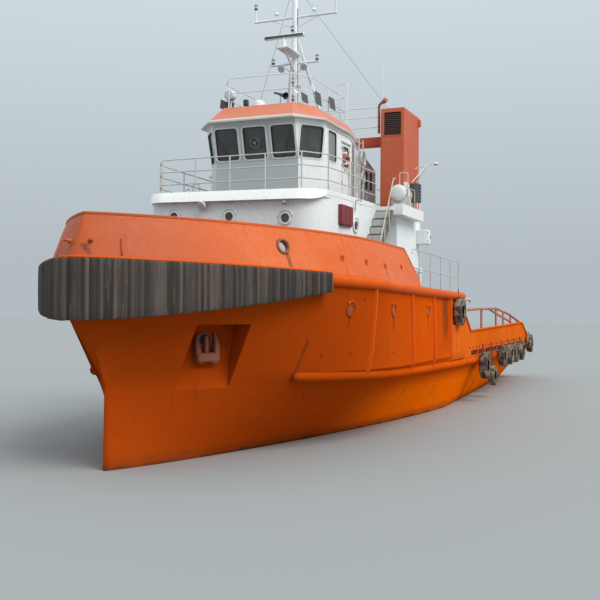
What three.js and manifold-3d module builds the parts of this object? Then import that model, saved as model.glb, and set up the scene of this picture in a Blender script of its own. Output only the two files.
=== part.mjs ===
// Twin screw anchor handling tug, afloat. Millimetres, +X to the bow, +Y to port, +Z up.
// The origin is on the centreline, amidships, at the waterline.
import * as THREE from "three";
import { mergeVertices } from "three/addons/utils/BufferGeometryUtils.js";
import Module from "manifold-3d";

const wasm = await Module();
wasm.setup();

const GAP = 0.6; // left where two pieces touch
const RUNNING_GAP = 6; // left round a piece that moves

// Hull lines: each level curve is full * (1 - (1 - s/run)^power)^(1/blunt), s aft of the stem.
const DECK_LINE = { full: 4667, run: 9300, power: 2.05, blunt: 1.2 };
const GUARD_LINE = { full: 4720, run: 9000, power: 2.2, blunt: 0.8 };
const WATER_LINE = { full: 3850, run: 17167, power: 1.414, blunt: 1.231 };
const STEM_X = 17500; // stem at the waterline
const STEM_RAKE = 0.46; // forward run for each unit of height above RAKE_Z
const RAKE_Z = 2000;
const TIP_X = 18845; // foremost point of the forecastle deck edge
const TRANSOM_X = -19100;
const STERN_ROUND = 1100; // plan radius of the stern quarters
const BREAK_X = 500; // aft end of the forecastle
const GUARD_Z = 2100;
const AFT_DECK_Z = 1900;
const KEEL_Z = -3400;
const KEEL_HALF = 70;
const SHEER = { low: 4429, rise: 436, run: 22000 }; // forecastle deck edge height
const KNUCKLE = { drop: 320, more: 200, fromX: 8200, overX: 5000 }; // below the deck edge, deeper at the bow

const BULWARK = { height: 1234, lean: 412, thick: 60, endX: 6750, slopeX: 630 };
const AFT_BULWARK = { // heights of its top from the break to the stern
  frontZ: 3500, peakX: 0, peakZ: 3580, lowX: -900, lowZ: 2990, fallX: -16900, fallZ: 3110, sternZ: 2100,
  thick: 60,
};
const FENDER = { endX: 13550, proud: 250, bottomBow: 3490, bottomEnd: 4200, sweep: 1.25 };
const GUARD_R = 150;
const STRIP_X = [11200, 8000, 5300, 2900]; // upright strips between the two guards

const HOUSE = { front: 11250, aft: 6330, round: 850, halfFront: 2950, halfAft: 3150, taperX: 7600 };
const CASING = { front: 6300, aft: 3300, half: 3700 };
const HOUSE_FOOT_Z = 4660;
const BRIDGE_Z = 7000; // underside of the bridge deck
const BRIDGE_TOP = 7120;
const COAMING_TOP = 7200;
const WALL = 100;
const WHEELHOUSE = { front: 9310, corner: 1420, cheekX: 8450, half: 2050, aft: 3600, sill: 8450, lean: 300 };
const AFT_SLOPE = { x: 6400, drop: 0.275 }; // the wheelhouse top falls towards its aft wall
const ROOF = { low: 9640, high: 10220, frontLow: 9820, frontHigh: 9240, cornerLow: 1440, cornerHigh: 1200 };
const SHAFT = { y: 2000, z: -2150, propX: -15600, propR: 1000, nozzleR: 1020, nozzleOut: 1190 };
const RUDDER_X = -17150;
const RUDDER_TRUNK = { bottom: -1030, r: 130 };
const WINCH = { x: -1900, z: 2950, drumR: 560, flangeR: 800, half: 1050 };
const WINDLASS = { x: 14300, z: 5150, drumR: 190, flangeR: 330, half: 420 };
const MAST = { x: 6200, top: 15200, r: 110 };
const FUNNEL = { front: 5300, aft: 3400, inner: 2800, outer: 3670, top: 10690 };

const ORANGE = 0xdd5a22;
const WHITE = 0xe8eaea;
const RED_ORANGE = 0xb9452c;
const RUBBER = 0x4a423c;
const GREY = 0x7e8486;
const STEEL = 0x595d5f;

const root = new THREE.Group();
root.name = "tugboat";

function addMesh(name, solid, color, roughness = 0.6, metalness = 0.1) {
  const material = new THREE.MeshStandardMaterial({ color, roughness, metalness });
  const mesh = new THREE.Mesh(geometryOf(solid), material);
  mesh.name = name;
  root.add(mesh);
}

// A closed geometry as a solid, turned the right way out.
function solidOf(geometry) {
  const g = geometry.index ? geometry.toNonIndexed() : geometry.clone();
  const bare = new THREE.BufferGeometry().setAttribute("position", g.getAttribute("position"));
  const merged = mergeVertices(bare, 1e-3);
  const at = merged.attributes.position.array;
  const index = Array.from(merged.index.array);
  let kept = [];
  let volume = 0;
  for (let i = 0; i < index.length; i += 3) {
    const [a, b, c] = [index[i], index[i + 1], index[i + 2]];
    if (a === b || b === c || a === c) continue;
    kept.push(a, b, c);
    const [pa, pb, pc] = [a, b, c].map((k) => new THREE.Vector3().fromArray(at, 3 * k));
    volume += pa.dot(pb.cross(pc));
  }
  if (volume < 0) kept = kept.map((_, i) => kept[i % 3 === 1 ? i + 1 : i % 3 === 2 ? i - 1 : i]);
  const triVerts = new Uint32Array(kept);
  return new wasm.Manifold(new wasm.Mesh({ numProp: 3, vertProperties: new Float32Array(at), triVerts }));
}

function geometryOf(solid) {
  const mesh = solid.simplify(0.02).getMesh();
  const geometry = new THREE.BufferGeometry();
  geometry.setAttribute("position", new THREE.BufferAttribute(mesh.vertProperties, 3));
  geometry.setIndex(new THREE.BufferAttribute(mesh.triVerts, 1));
  const flat = geometry.toNonIndexed();
  flat.computeVertexNormals();
  return flat;
}

function join(solids) {
  return solids.reduce((all, next) => all.add(next));
}

// The biggest body of a cut solid, without the slivers that a cut leaves.
function largest(solid) {
  return solid.decompose().reduce((a, b) => (b.volume() > a.volume() ? b : a));
}

function mirrorY(solid) {
  const geometry = geometryOf(solid).applyMatrix4(new THREE.Matrix4().makeScale(1, -1, 1));
  return solidOf(geometry);
}

function box(x0, x1, y0, y1, z0, z1) {
  const g = new THREE.BoxGeometry(Math.abs(x1 - x0), Math.abs(y1 - y0), Math.abs(z1 - z0));
  return solidOf(g.translate((x0 + x1) / 2, (y0 + y1) / 2, (z0 + z1) / 2));
}

// A round bar from one point to another.
function rod(a, b, radius, sides = 8) {
  const from = new THREE.Vector3(...a);
  const along = new THREE.Vector3(...b).sub(from);
  const g = new THREE.CylinderGeometry(radius, radius, along.length(), sides);
  g.rotateY(Math.PI / sides);
  const turn = new THREE.Quaternion().setFromUnitVectors(new THREE.Vector3(0, 1, 0), along.clone().normalize());
  g.applyQuaternion(turn);
  return solidOf(g.translate(...from.add(along.multiplyScalar(0.5)).toArray()));
}

// A solid turned about a line through centre along axis X, Y or Z, from a closed half profile [radius, along].
function turned(profile, axis, centre, sides = 24) {
  const g = new THREE.LatheGeometry(profile.map(([r, h]) => new THREE.Vector2(r, h)), sides);
  if (axis === "X") g.rotateZ(-Math.PI / 2);
  if (axis === "Z") g.rotateX(Math.PI / 2);
  return solidOf(g.translate(...centre));
}

// An upright prism over an outline [x, y], from z0 to z1.
function prism(outline, z0, z1) {
  const shape = new THREE.Shape(outline.map(([x, y]) => new THREE.Vector2(x, y)));
  const g = new THREE.ExtrudeGeometry(shape, { depth: z1 - z0, bevelEnabled: false });
  return solidOf(g.translate(0, 0, z0));
}

// A plate over a side profile [x, z], from y0 to y1.
function sidePlate(profile, y0, y1) {
  const shape = new THREE.Shape(profile.map(([x, z]) => new THREE.Vector2(x, z)));
  const g = new THREE.ExtrudeGeometry(shape, { depth: y1 - y0, bevelEnabled: false });
  return solidOf(g.rotateX(Math.PI / 2).translate(0, y1, 0));
}

// Equal rings of points joined one after another, with both ends closed.
function loft(rings) {
  const count = rings[0].length;
  const out = [];
  const put = (...points) => points.forEach((p) => out.push(...p));
  for (let i = 0; i + 1 < rings.length; i++)
    for (let j = 0; j < count; j++) {
      const k = (j + 1) % count;
      put(rings[i][j], rings[i][k], rings[i + 1][k]);
      put(rings[i][j], rings[i + 1][k], rings[i + 1][j]);
    }
  [rings[0], rings.at(-1)].forEach((ring, end) => {
    const [e1, e2] = planeOf(ring);
    const flat = ring.map((p) => new THREE.Vector2(dot(p, e1), dot(p, e2)));
    for (const [a, b, c] of THREE.ShapeUtils.triangulateShape(flat, []))
      put(...(end ? [ring[a], ring[b], ring[c]] : [ring[c], ring[b], ring[a]]));
  });
  const g = new THREE.BufferGeometry();
  g.setAttribute("position", new THREE.Float32BufferAttribute(out, 3));
  return solidOf(g);
}

function dot(a, b) {
  return a[0] * b[0] + a[1] * b[1] + a[2] * b[2];
}

// Two directions in the plane of a ring, so that the ring runs anticlockwise in them.
function planeOf(ring) {
  const n = new THREE.Vector3();
  ring.forEach((p, i) => {
    const q = ring[(i + 1) % ring.length];
    n.add(new THREE.Vector3(...p).cross(new THREE.Vector3(...q)));
  });
  n.normalize();
  const e1 = new THREE.Vector3(Math.abs(n.x) > 0.9 ? 0 : 1, Math.abs(n.x) > 0.9 ? 1 : 0, 0);
  e1.addScaledVector(n, -e1.dot(n)).normalize();
  return [e1.toArray(), n.clone().cross(e1).toArray()];
}

const mix = (a, b, t) => a + (b - a) * t;
const clamp = (v, low, high) => Math.min(high, Math.max(low, v));

function lineHalf(line, s) {
  const t = clamp(1 - s / line.run, 0, 1);
  return s <= 0 ? 0 : line.full * (1 - t ** line.power) ** (1 / line.blunt);
}

function stemX(z) {
  return z > RAKE_Z ? STEM_X + STEM_RAKE * (z - RAKE_Z) : STEM_X;
}

function deckZ(x) {
  const t = clamp(1 - (TIP_X - x) / SHEER.run, 0, 1);
  return SHEER.low + SHEER.rise * t * t;
}

function knuckleZ(x) {
  return deckZ(x) - KNUCKLE.drop - KNUCKLE.more * clamp((x - KNUCKLE.fromX) / KNUCKLE.overX, 0, 1);
}

function keelZ(x) {
  const foot = clamp((x - 14000) / 3400, 0, 1) ** 2.5 * 1900;
  const run = clamp((-6000 - x) / 12600, 0, 1);
  return KEEL_Z + foot + 2850 * run * run * (3 - 2 * run);
}

// Taper towards the stern and the round of its quarters.
function sternTaper(x) {
  const aft = Math.max(0, -4500 - x) / 1000;
  const corner = Math.max(0, TRANSOM_X + STERN_ROUND - x);
  return 1.4 * aft * aft + STERN_ROUND - Math.sqrt(Math.max(0, STERN_ROUND ** 2 - corner ** 2));
}

// Half breadth of the hull at a station and height.
function hullHalf(x, z) {
  const s = stemX(Math.max(z, 0)) - x;
  const guard = lineHalf(GUARD_LINE, s);
  const water = lineHalf(WATER_LINE, s) - 50 * Math.max(0, -x / 1000);
  const deck = lineHalf(DECK_LINE, TIP_X - x - (deckZ(x) - z) * STEM_RAKE);
  const upper = mix(guard, deck, clamp((z - GUARD_Z) / (knuckleZ(x) - GUARD_Z), 0, 1));
  const lower = mix(water, guard, clamp(z / GUARD_Z, 0, 1));
  const side = (z > GUARD_Z ? upper : lower) - sternTaper(x);
  if (z >= 0) return side;
  const depth = clamp(z / keelZ(x), 0, 1);
  return Math.max(KEEL_HALF, side * Math.sqrt(1 - depth ** 2.2));
}

const BELOW = [1, 0.9, 0.68, 0.35, 0]; // ring heights below water, as parts of the keel depth
const FORE_LEVELS = [700, 1400, GUARD_Z, 2900, 3700]; // ring heights above water, below the knuckle
const AFT_LEVELS = [700, 1400];
const FORE_STATIONS = [
  500, 3000, 6000, 9000, 11500, 13400, 14800, 15900, 16700, 17200, 17440, 17560, 17900, 18250, 18520,
  18720, 18825,
];
const AFT_STATIONS = [-19100, -19000, -18700, -18200, -17000, -14500, -12000, -9500, -7000, -4000, -1000, 520];

// One hull frame as a ring, keel to deck to port and back to starboard; grow pushes it outwards.
function frameRing(x, levels, topZ, grow) {
  const wet = BELOW.map((part) => keelZ(x) * part);
  const heights = [...wet, ...levels, topZ];
  const stem = x > STEM_X ? RAKE_Z + (x - STEM_X) / STEM_RAKE : -Infinity;
  const outer = x > 12000 ? grow : x < -17500 ? -grow : 0;
  const port = heights.map((level, i) => {
    const z = Math.max(level, stem - 2 * (heights.length - i));
    return [x + outer, Math.max(hullHalf(x, z), 5 + i) + grow, z];
  });
  port[0][2] -= grow;
  port.at(-1)[2] += grow;
  return [...port, ...port.map(([px, y, z]) => [px, -y, z]).reverse()];
}

function hullShell(grow) {
  const fore = FORE_STATIONS.map((x) => frameRing(x, [...FORE_LEVELS, knuckleZ(x)], deckZ(x), grow));
  const aft = AFT_STATIONS.map((x) => frameRing(x, AFT_LEVELS, AFT_DECK_Z, grow));
  return loft(fore).add(loft(aft));
}

const hullGrown = hullShell(GAP);

// A piece that stands on or against the hull, trimmed to it.
function onHull(solid) {
  return largest(solid.subtract(hullGrown));
}

// Points along the forecastle edge from port aft, round the stem, to starboard aft.
// A tail adds one more point at each end, that far aft.
function bowRim(aftX, steps, tail = 0) {
  const rim = (s, side) => [TIP_X - s, side * lineHalf(DECK_LINE, s)];
  const reach = TIP_X - aftX;
  const points = Array.from({ length: steps + 1 }, (_, i) => {
    const u = 1 - (2 * i) / steps;
    return rim(reach * u * u, Math.sign(u));
  });
  if (tail) points.unshift(rim(reach + tail, 1));
  if (tail) points.push(rim(reach + tail, -1));
  return withNormals(points);
}

// Each point of a run with the level normal to its left, which is outboard here.
function withNormals(points) {
  return points.map(([x, y], i) => {
    const a = points[Math.max(0, i - 1)];
    const b = points[Math.min(points.length - 1, i + 1)];
    const length = Math.hypot(b[0] - a[0], b[1] - a[1]);
    return { x, y, nx: (b[1] - a[1]) / -length, ny: (b[0] - a[0]) / length };
  });
}

// A section [out, z] for each point of a run, joined along it.
function alongRun(run, sectionAt) {
  return loft(run.map((p, i) => sectionAt(p, i).map(([out, z]) => [p.x + p.nx * out, p.y + p.ny * out, z])));
}

function sideRun(stations, side, z) {
  return withNormals(stations.map((x) => [x, side * hullHalf(x, z(x))]));
}

// The anchor pocket stands on a point of the hull side: u runs aft along the side, n outboard.
const POCKET = { x: 15550, y: 1460, u: [-0.786, 0.618], n: [0.618, 0.786], width: 1420, shift: 267 };
const POCKET_LEVELS = [[1800, 0], [2400, -200], [3390, -200]]; // height, back wall along n

function pocketPoint(u, n) {
  const { x, y, u: along, n: out } = POCKET;
  return [x + u * along[0] + n * out[0], y + u * along[1] + n * out[1]];
}

function anchorPocket(side) {
  const [low, , high] = POCKET_LEVELS;
  const rings = POCKET_LEVELS.map(([z, back]) => {
    const mid = (POCKET.shift * (z - low[0])) / (high[0] - low[0]);
    const half = POCKET.width / 2;
    const corners = [[mid - half, back], [mid + half, back], [mid + half, 1300], [mid - half, 1300]];
    return corners.map(([u, n]) => [...pocketPoint(u, n), z]);
  });
  const cut = loft(rings);
  return side > 0 ? cut : mirrorY(cut);
}

function houseOutline(grow = 0, lead = 0) {
  const { front, aft, round, halfFront, halfAft, taperX } = HOUSE;
  const port = [];
  for (let i = 0; i <= 6; i++) {
    const a = (i * Math.PI) / 12;
    const r = round + grow;
    port.push([front + lead - round + r * Math.cos(a), halfFront - round + r * Math.sin(a)]);
  }
  port.push([taperX, halfAft + grow], [aft - grow, halfAft + grow]);
  return [...port, ...port.map(([x, y]) => [x, -y]).reverse()];
}

function oblong(x0, x1, half) {
  return [[x1, half], [x0, half], [x0, -half], [x1, -half]];
}

const DOOR_GAP = 12; // round a door in its opening
const HATCH = { x: -12500, y: 2500, half: 400, rise: 450, wall: 60 };
const BREAK_DOOR = { y: -1600, width: 760, low: 2200, high: 3950, recess: 70 };
const ROLLER = { x: -18770, z: 1700, r: 290, half: 1650, axleR: 70, bayHalf: 1710 };

function makeHull() {
  const trunks = [1, -1].map((side) =>
    rod([RUDDER_X, side * SHAFT.y, -100], [RUDDER_X, side * SHAFT.y, RUDDER_TRUNK.bottom], RUDDER_TRUNK.r, 12));
  const casingFoot = oblong(CASING.aft, CASING.front + 100, CASING.half);
  const feet = [houseOutline(), casingFoot].map((outline) => prism(outline, 4200, HOUSE_FOOT_Z));
  const { x, y, half, rise, wall } = HATCH;
  const coaming = box(x - half, x + half, y - half, y + half, AFT_DECK_Z - 50, AFT_DECK_Z + rise);
  const well = box(x - half + wall, x + half - wall, y - half + wall, y + half - wall, AFT_DECK_Z - 300, 2500);
  const d = BREAK_DOOR;
  const reach = d.width / 2 + DOOR_GAP;
  const [low, high] = [d.low - DOOR_GAP, d.high + DOOR_GAP];
  const doorRecess = box(BREAK_X - 100, BREAK_X + d.recess, d.y - reach, d.y + reach, low, high);
  const rollerBay = box(-20000, ROLLER.x + 370, -ROLLER.bayHalf, ROLLER.bayHalf, 1250, 2500);
  let hull = join([hullShell(0), ...trunks, ...feet, coaming]);
  for (const cut of [well, doorRecess, rollerBay, anchorPocket(1), anchorPocket(-1)]) hull = hull.subtract(cut);
  return hull;
}

// Fin on the centreline below the stern, with the keel bar that runs forward from it.
function makeSkeg() {
  const side = [[-4000, -3000], [-4000, -3600], [-15200, -3600], [-16600, -1000], [-11000, -1000]];
  return onHull(sidePlate(side, -150, 150).add(box(-4500, 13500, -100, 100, -3600, -3300)));
}

// Tube that carries a shaft aft from the hull to its propeller.
function makeSternTube(side) {
  const end = SHAFT.propX + 380 + RUNNING_GAP;
  return onHull(rod([-7000, side * SHAFT.y, SHAFT.z], [end, side * SHAFT.y, SHAFT.z], 190, 12));
}

// The bow bulwark leans inboard and ends in a slope at each side.
function makeBowBulwark() {
  const run = bowRim(BULWARK.endX + BULWARK.slopeX, 26, BULWARK.slopeX);
  const last = run.length - 1;
  const wall = alongRun(run, (p, i) => {
    const z = deckZ(p.x);
    const t = clamp(1 - (TIP_X - p.x) / SHEER.run, 0, 1);
    const atEnd = i === 0 || i === last;
    const top = z + (atEnd ? 200 : BULWARK.height - 162 * t * t);
    const lean = atEnd ? 60 : BULWARK.lean;
    const cap = atEnd ? 0 : 50;
    return [[-20, z + 5], [-lean, top - 60], [-lean + cap, top - 60], [-lean + cap, top],
      [-lean - BULWARK.thick - cap, top], [-lean - BULWARK.thick - cap, top - 60],
      [-lean - BULWARK.thick, top - 60], [-20 - BULWARK.thick, z + 5]];
  });
  const holes = [1, -1].map((side) => rod([14500, side * 2400, 5310], [14900, side * 4400, 5310], 140, 12));
  return onHull(holes.reduce((all, hole) => all.subtract(hole), wall));
}

function makeBowFender() {
  const run = bowRim(FENDER.endX, 24);
  const body = alongRun(run, (p) => {
    const t = (TIP_X - p.x) / (TIP_X - FENDER.endX);
    const top = deckZ(p.x) + 10;
    const low = mix(FENDER.bottomBow, FENDER.bottomEnd, t ** FENDER.sweep);
    const out = FENDER.proud;
    return [[12, top], [-200, top - 50], [-700, low + 60], [out - 90, low],
      [out, low + 70], [out, top - 50], [out - 50, top]];
  });
  return onHull(body);
}

function guardSection(z) {
  const r = GUARD_R;
  return [[-60, z + r], [0.2 * r, z + r], [r, z + 0.4 * r], [r, z - 0.4 * r], [0.2 * r, z - r], [-60, z - r]];
}

// Upper guard, lower guard and the upright strips that join them, on one side.
function makeSideGuards(side) {
  const upperX = [FENDER.endX - 40, 12400, 11500, 10200, 9000, 7500, 6000, 3000, 700];
  const foreX = [13600, 13100, 12400, 11500, 10200, 9000, 6000, 3000, 500];
  const lowerX = [...foreX, -4000, -7000, -9500, -12000, -14500, -17000, -18000];
  const order = (list) => (side > 0 ? [...list].reverse() : list);
  const upperZ = (x) => deckZ(x) - GUARD_R;
  const lowerZ = (x) => 1750 + 463 * clamp(1 - (TIP_X - x) / SHEER.run, 0, 1) ** 2;
  const upper = alongRun(sideRun(order(upperX), side, upperZ), (p) => guardSection(upperZ(p.x)));
  const lower = alongRun(sideRun(order(lowerX), side, lowerZ), (p) => guardSection(lowerZ(p.x)));
  const strips = STRIP_X.map((x) => {
    const low = lowerZ(x);
    const high = upperZ(x);
    const yLow = side * hullHalf(x, low);
    const yHigh = side * hullHalf(x, high);
    const section = [[-70, -60], [70, -60], [45, 75], [-45, 75]];
    const ring = (y, z) => section.map(([dx, dy]) => [x + dx, y + side * dy, z]);
    const between = [GUARD_Z, 2900, 3700].map((z) => ring(side * hullHalf(x, z), z));
    return loft([ring(yLow, low), ...between, ring(yHigh, high)]);
  });
  return onHull(join([upper, lower, ...strips]));
}

function aftBulwarkTop(x) {
  const b = AFT_BULWARK;
  if (x > b.peakX) return mix(b.peakZ, b.frontZ, (x - b.peakX) / (BREAK_X - b.peakX));
  if (x > b.lowX) return mix(b.lowZ, b.peakZ, (x - b.lowX) / (b.peakX - b.lowX));
  if (x > b.fallX) return mix(b.fallZ, b.lowZ, (x - b.fallX) / (b.lowX - b.fallX));
  return mix(b.sternZ, b.fallZ, (x - TRANSOM_X) / (b.fallX - TRANSOM_X));
}

// Quarter of the stern in plan: along the side, round the corner and in to the roller.
function aftRun(side) {
  const { peakX, lowX, fallX } = AFT_BULWARK;
  const middle = [-2500, -4500, -7000, -9500, -12000, -14500];
  const along = [BREAK_X, peakX, lowX, ...middle, fallX, -18200, -18700, -19000];
  const points = along.map((x) => [x, side * hullHalf(x, AFT_DECK_Z)]);
  const corner = hullHalf(TRANSOM_X, AFT_DECK_Z) - 60;
  points.push([TRANSOM_X, side * corner], [TRANSOM_X, side * (ROLLER.half + 120)]);
  return withNormals(side > 0 ? points.reverse() : points);
}

const FREEING_X = [-2600, -5600, -8600, -11600, -14600]; // slots that drain the deck

function makeAftBulwark(side) {
  const t = AFT_BULWARK.thick;
  const wall = alongRun(aftRun(side), (p) => {
    const top = aftBulwarkTop(p.x);
    return [[-10, 1850], [-10, top - 60], [45, top - 60], [45, top],
      [-55 - t, top], [-55 - t, top - 60], [-10 - t, top - 60], [-10 - t, 1850]];
  });
  const slots = FREEING_X.map((x) => box(x - 550, x + 550, side * 3500, side * 5200, 1960, 2180));
  return onHull(slots.reduce((all, slot) => all.subtract(slot), wall));
}

// Pipe rail that guards the bulwark along the working deck.
function makeCrashRail(side) {
  const y = (x) => side * (hullHalf(x, AFT_DECK_Z) - 330);
  const at = (x, z) => [x, y(x), z];
  const main = [at(-600, 3780), at(-4200, 3850), at(-7800, 3870), at(-11700, 3560), at(-15600, 3250)];
  const brace = [at(-5800, 3860), at(-9100, 3500), at(-12400, 3200)];
  const bars = main.slice(1).map((p, i) => rod(main[i], p, 60, 5));
  brace.slice(1).forEach((p, i) => bars.push(rod(brace[i], p, 50, 5)));
  const posts = [[-700, 3780], [-4200, 3850], [-7800, 3870], [-9900, 3700], [-12400, 3500], [-15500, 3260]];
  for (const [x, z] of posts)
    bars.push(rod(at(x, AFT_DECK_Z + GAP), at(x, z), 50, 5));
  return join(bars);
}

const TYRES = [ // x, height of the centre, outer radius
  [-2500, 1500, 550], [-4500, 960, 430], [-7000, 1700, 500], [-9000, 1700, 500],
  [-11000, 1700, 500], [-13300, 1700, 500], [-17300, 1950, 500],
];
const HIGH_TYRE = { x: 2000, z: 3700, r: 500 };
const ROPE = [[2000, 3300], [1300, 2500], [-1500, 2000], [-9500, 2000], [-17500, 2000]]; // x, height

function tyreSolid(x, side, z, radius, out) {
  const wide = radius * 0.3;
  const bore = radius * 0.5;
  const shoulder = radius * 0.88;
  const inside = [bore, -wide];
  const profile = [inside, [shoulder, -wide], [radius, 0], [shoulder, wide], [bore, wide], inside];
  return turned(profile, "Y", [x, side * (out + wide), z], 10);
}

// Old tyres hung along the side on one rope; the foremost hangs under the upper guard.
function makeTyres(side) {
  const outAt = (x) => hullHalf(x, 1750) + GUARD_R + 40;
  const parts = TYRES.map(([x, z, r]) => tyreSolid(x, side, z, r, outAt(x)));
  const high = HIGH_TYRE;
  parts.push(tyreSolid(high.x, side, high.z, high.r, hullHalf(high.x, high.z) + 20));
  const place = ([x, z]) => [x, side * (outAt(x) + 100), z];
  ROPE.slice(1).forEach((p, i) => parts.push(rod(place(ROPE[i]), place(p), 30, 4)));
  const [lowX, lowZ, lowR] = TYRES[1];
  parts.push(rod(place([lowX, 2000]), place([lowX, lowZ + 0.7 * lowR]), 30, 4));
  return join(parts);
}

function makeRoller() {
  const { x, z, r, half, axleR, bayHalf } = ROLLER;
  const end = bayHalf - RUNNING_GAP;
  const port = [[r, half], [axleR, half], [axleR, end], [0, end]];
  const starboard = port.map(([radius, along]) => [radius, -along]).reverse();
  return turned([...starboard, ...port], "Y", [x, 0, z], 20);
}

// A drum on an axle across the ship, with a flange at each end.
function drumSolid(d, axleHalf, axleR) {
  const inner = d.half - 60;
  const flange = [[d.flangeR, inner], [d.flangeR, d.half]];
  const port = [[d.drumR, inner], ...flange, [axleR, d.half], [axleR, axleHalf], [0, axleHalf]];
  const starboard = port.map(([radius, along]) => [radius, -along]).reverse();
  return turned([...starboard, ...port], "Y", [d.x, 0, d.z], 14);
}

// Two cheek plates on a base, bored for the axle.
function drumFrame(d, foot, cheekHalf, axleR, thick) {
  const inner = d.half + 30;
  const outer = inner + thick;
  const topZ = d.z + 2.2 * axleR + 60;
  const topHalf = cheekHalf * 0.45;
  const right = [[d.x + cheekHalf, foot], [d.x + topHalf, topZ]];
  const profile = [[d.x - cheekHalf, foot], ...right, [d.x - topHalf, topZ]];
  const cheeks = [sidePlate(profile, inner, outer), sidePlate(profile, -outer, -inner)];
  const bases = [1, -1].map((end) => {
    const x = d.x + end * cheekHalf * 0.98;
    return box(x - 60, x + 60, -outer, outer, foot, foot + 90);
  });
  const bore = rod([d.x, -outer - 50, d.z], [d.x, outer + 50, d.z], axleR + 10, 16);
  return join([...cheeks, ...bases]).subtract(bore);
}

function shellWalls(outline, inner, z0, z1) {
  return prism(outline, z0, z1).subtract(prism(inner, z0 - 10, z1 + 10));
}

function makeDeckhouse() {
  return shellWalls(houseOutline(), houseOutline(-WALL), HOUSE_FOOT_Z + GAP, BRIDGE_Z);
}

function makeCasing() {
  const { front, aft, half } = CASING;
  const inner = oblong(aft + WALL, front - WALL, half - WALL);
  const walls = shellWalls(oblong(aft, front, half), inner, HOUSE_FOOT_Z + GAP, BRIDGE_Z);
  const d = CASING_DOOR;
  const reach = d.width / 2 + DOOR_GAP;
  const [low, high] = [d.low - DOOR_GAP, d.high + DOOR_GAP];
  return walls.subtract(box(aft - 50, aft + WALL + 50, d.y - reach, d.y + reach, low, high));
}

const CASING_DOOR = { y: 900, width: 760, low: 4860, high: 6640 };
const TRAY = { x0: 4200, x1: 6850, out: 4050 };

function makeBridgeDeck() {
  const edge = houseOutline(0, 200);
  const inner = houseOutline(-60, 200);
  const wide = oblong(CASING.aft - 200, 6900, CASING.half + 60);
  const slab = prism(edge, BRIDGE_Z + GAP, BRIDGE_TOP).add(prism(wide, BRIDGE_Z + GAP, BRIDGE_TOP));
  const rim = prism(edge, BRIDGE_Z + GAP, COAMING_TOP);
  const upstand = rim.subtract(prism(inner, BRIDGE_Z - 50, COAMING_TOP + 50))
    .subtract(box(0, 6900, -5000, 5000, BRIDGE_TOP, 8000));
  const visor = prism(edge, 6900, COAMING_TOP).subtract(prism(houseOutline(2, 0), 6800, 7600))
    .subtract(box(0, 10760, -5000, 5000, 6800, 7600));
  const trays = [1, -1].flatMap((side) => {
    const y0 = side * (CASING.half - 20);
    const y1 = side * TRAY.out;
    const floor = box(TRAY.x0, TRAY.x1, y0 + side * 40, y1, 6850, 6930);
    const web = box(TRAY.x0, TRAY.x1, y0 + side * 40, y0 + side * 100, 6850, BRIDGE_TOP);
    const wall = box(TRAY.x0, TRAY.x1, y1 - side * 50, y1, 6850, 7200);
    const ends = [TRAY.x0, TRAY.x1 - 50].map((x) => box(x, x + 50, y0 + side * 40, y1, 6850, 7200));
    return [floor, web, wall, ...ends];
  });
  return join([slab, upstand, visor, ...trays]);
}

// Plan of the wheelhouse at a height: the front leans out above the sill. Inset moves the walls in.
function wheelhousePlan(z, inset) {
  const w = WHEELHOUSE;
  const out = w.lean * clamp((z - w.sill) / (ROOF.low - w.sill), 0, 1);
  const slant = inset * 0.35;
  const port = [[w.front + out - inset, w.corner - slant], [w.cheekX + out - slant, w.half - inset],
    [w.aft + inset, w.half - inset]];
  return [...port, ...port.map(([x, y]) => [x, -y]).reverse()].map(([x, y]) => [x, y, z]);
}

function wheelhouseBlock(inset, levels) {
  return loft(levels.map((z) => wheelhousePlan(z, inset)));
}

const WINDOWS = { low: 8500, high: 9470, frontY: [-970, 0, 970], width: 780 };
const WH_DOOR = { x0: 6320, x1: 7100, low: 7300, high: 9250, thick: 50 };
const SIDE_WINDOW = { x0: 7610, x1: 8380 };
const AFT_WINDOWS = { low: 7950, high: 8650, xs: [4050, 4550], width: 360 };

// A cut through one wall: a box on a point of the wall, turned to face along an angle from +X.
function wallCut(x, y, angle, width, low, high) {
  const g = new THREE.BoxGeometry(900, width, high - low);
  g.rotateZ(angle).translate(x, y, (low + high) / 2);
  return solidOf(g);
}

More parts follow.
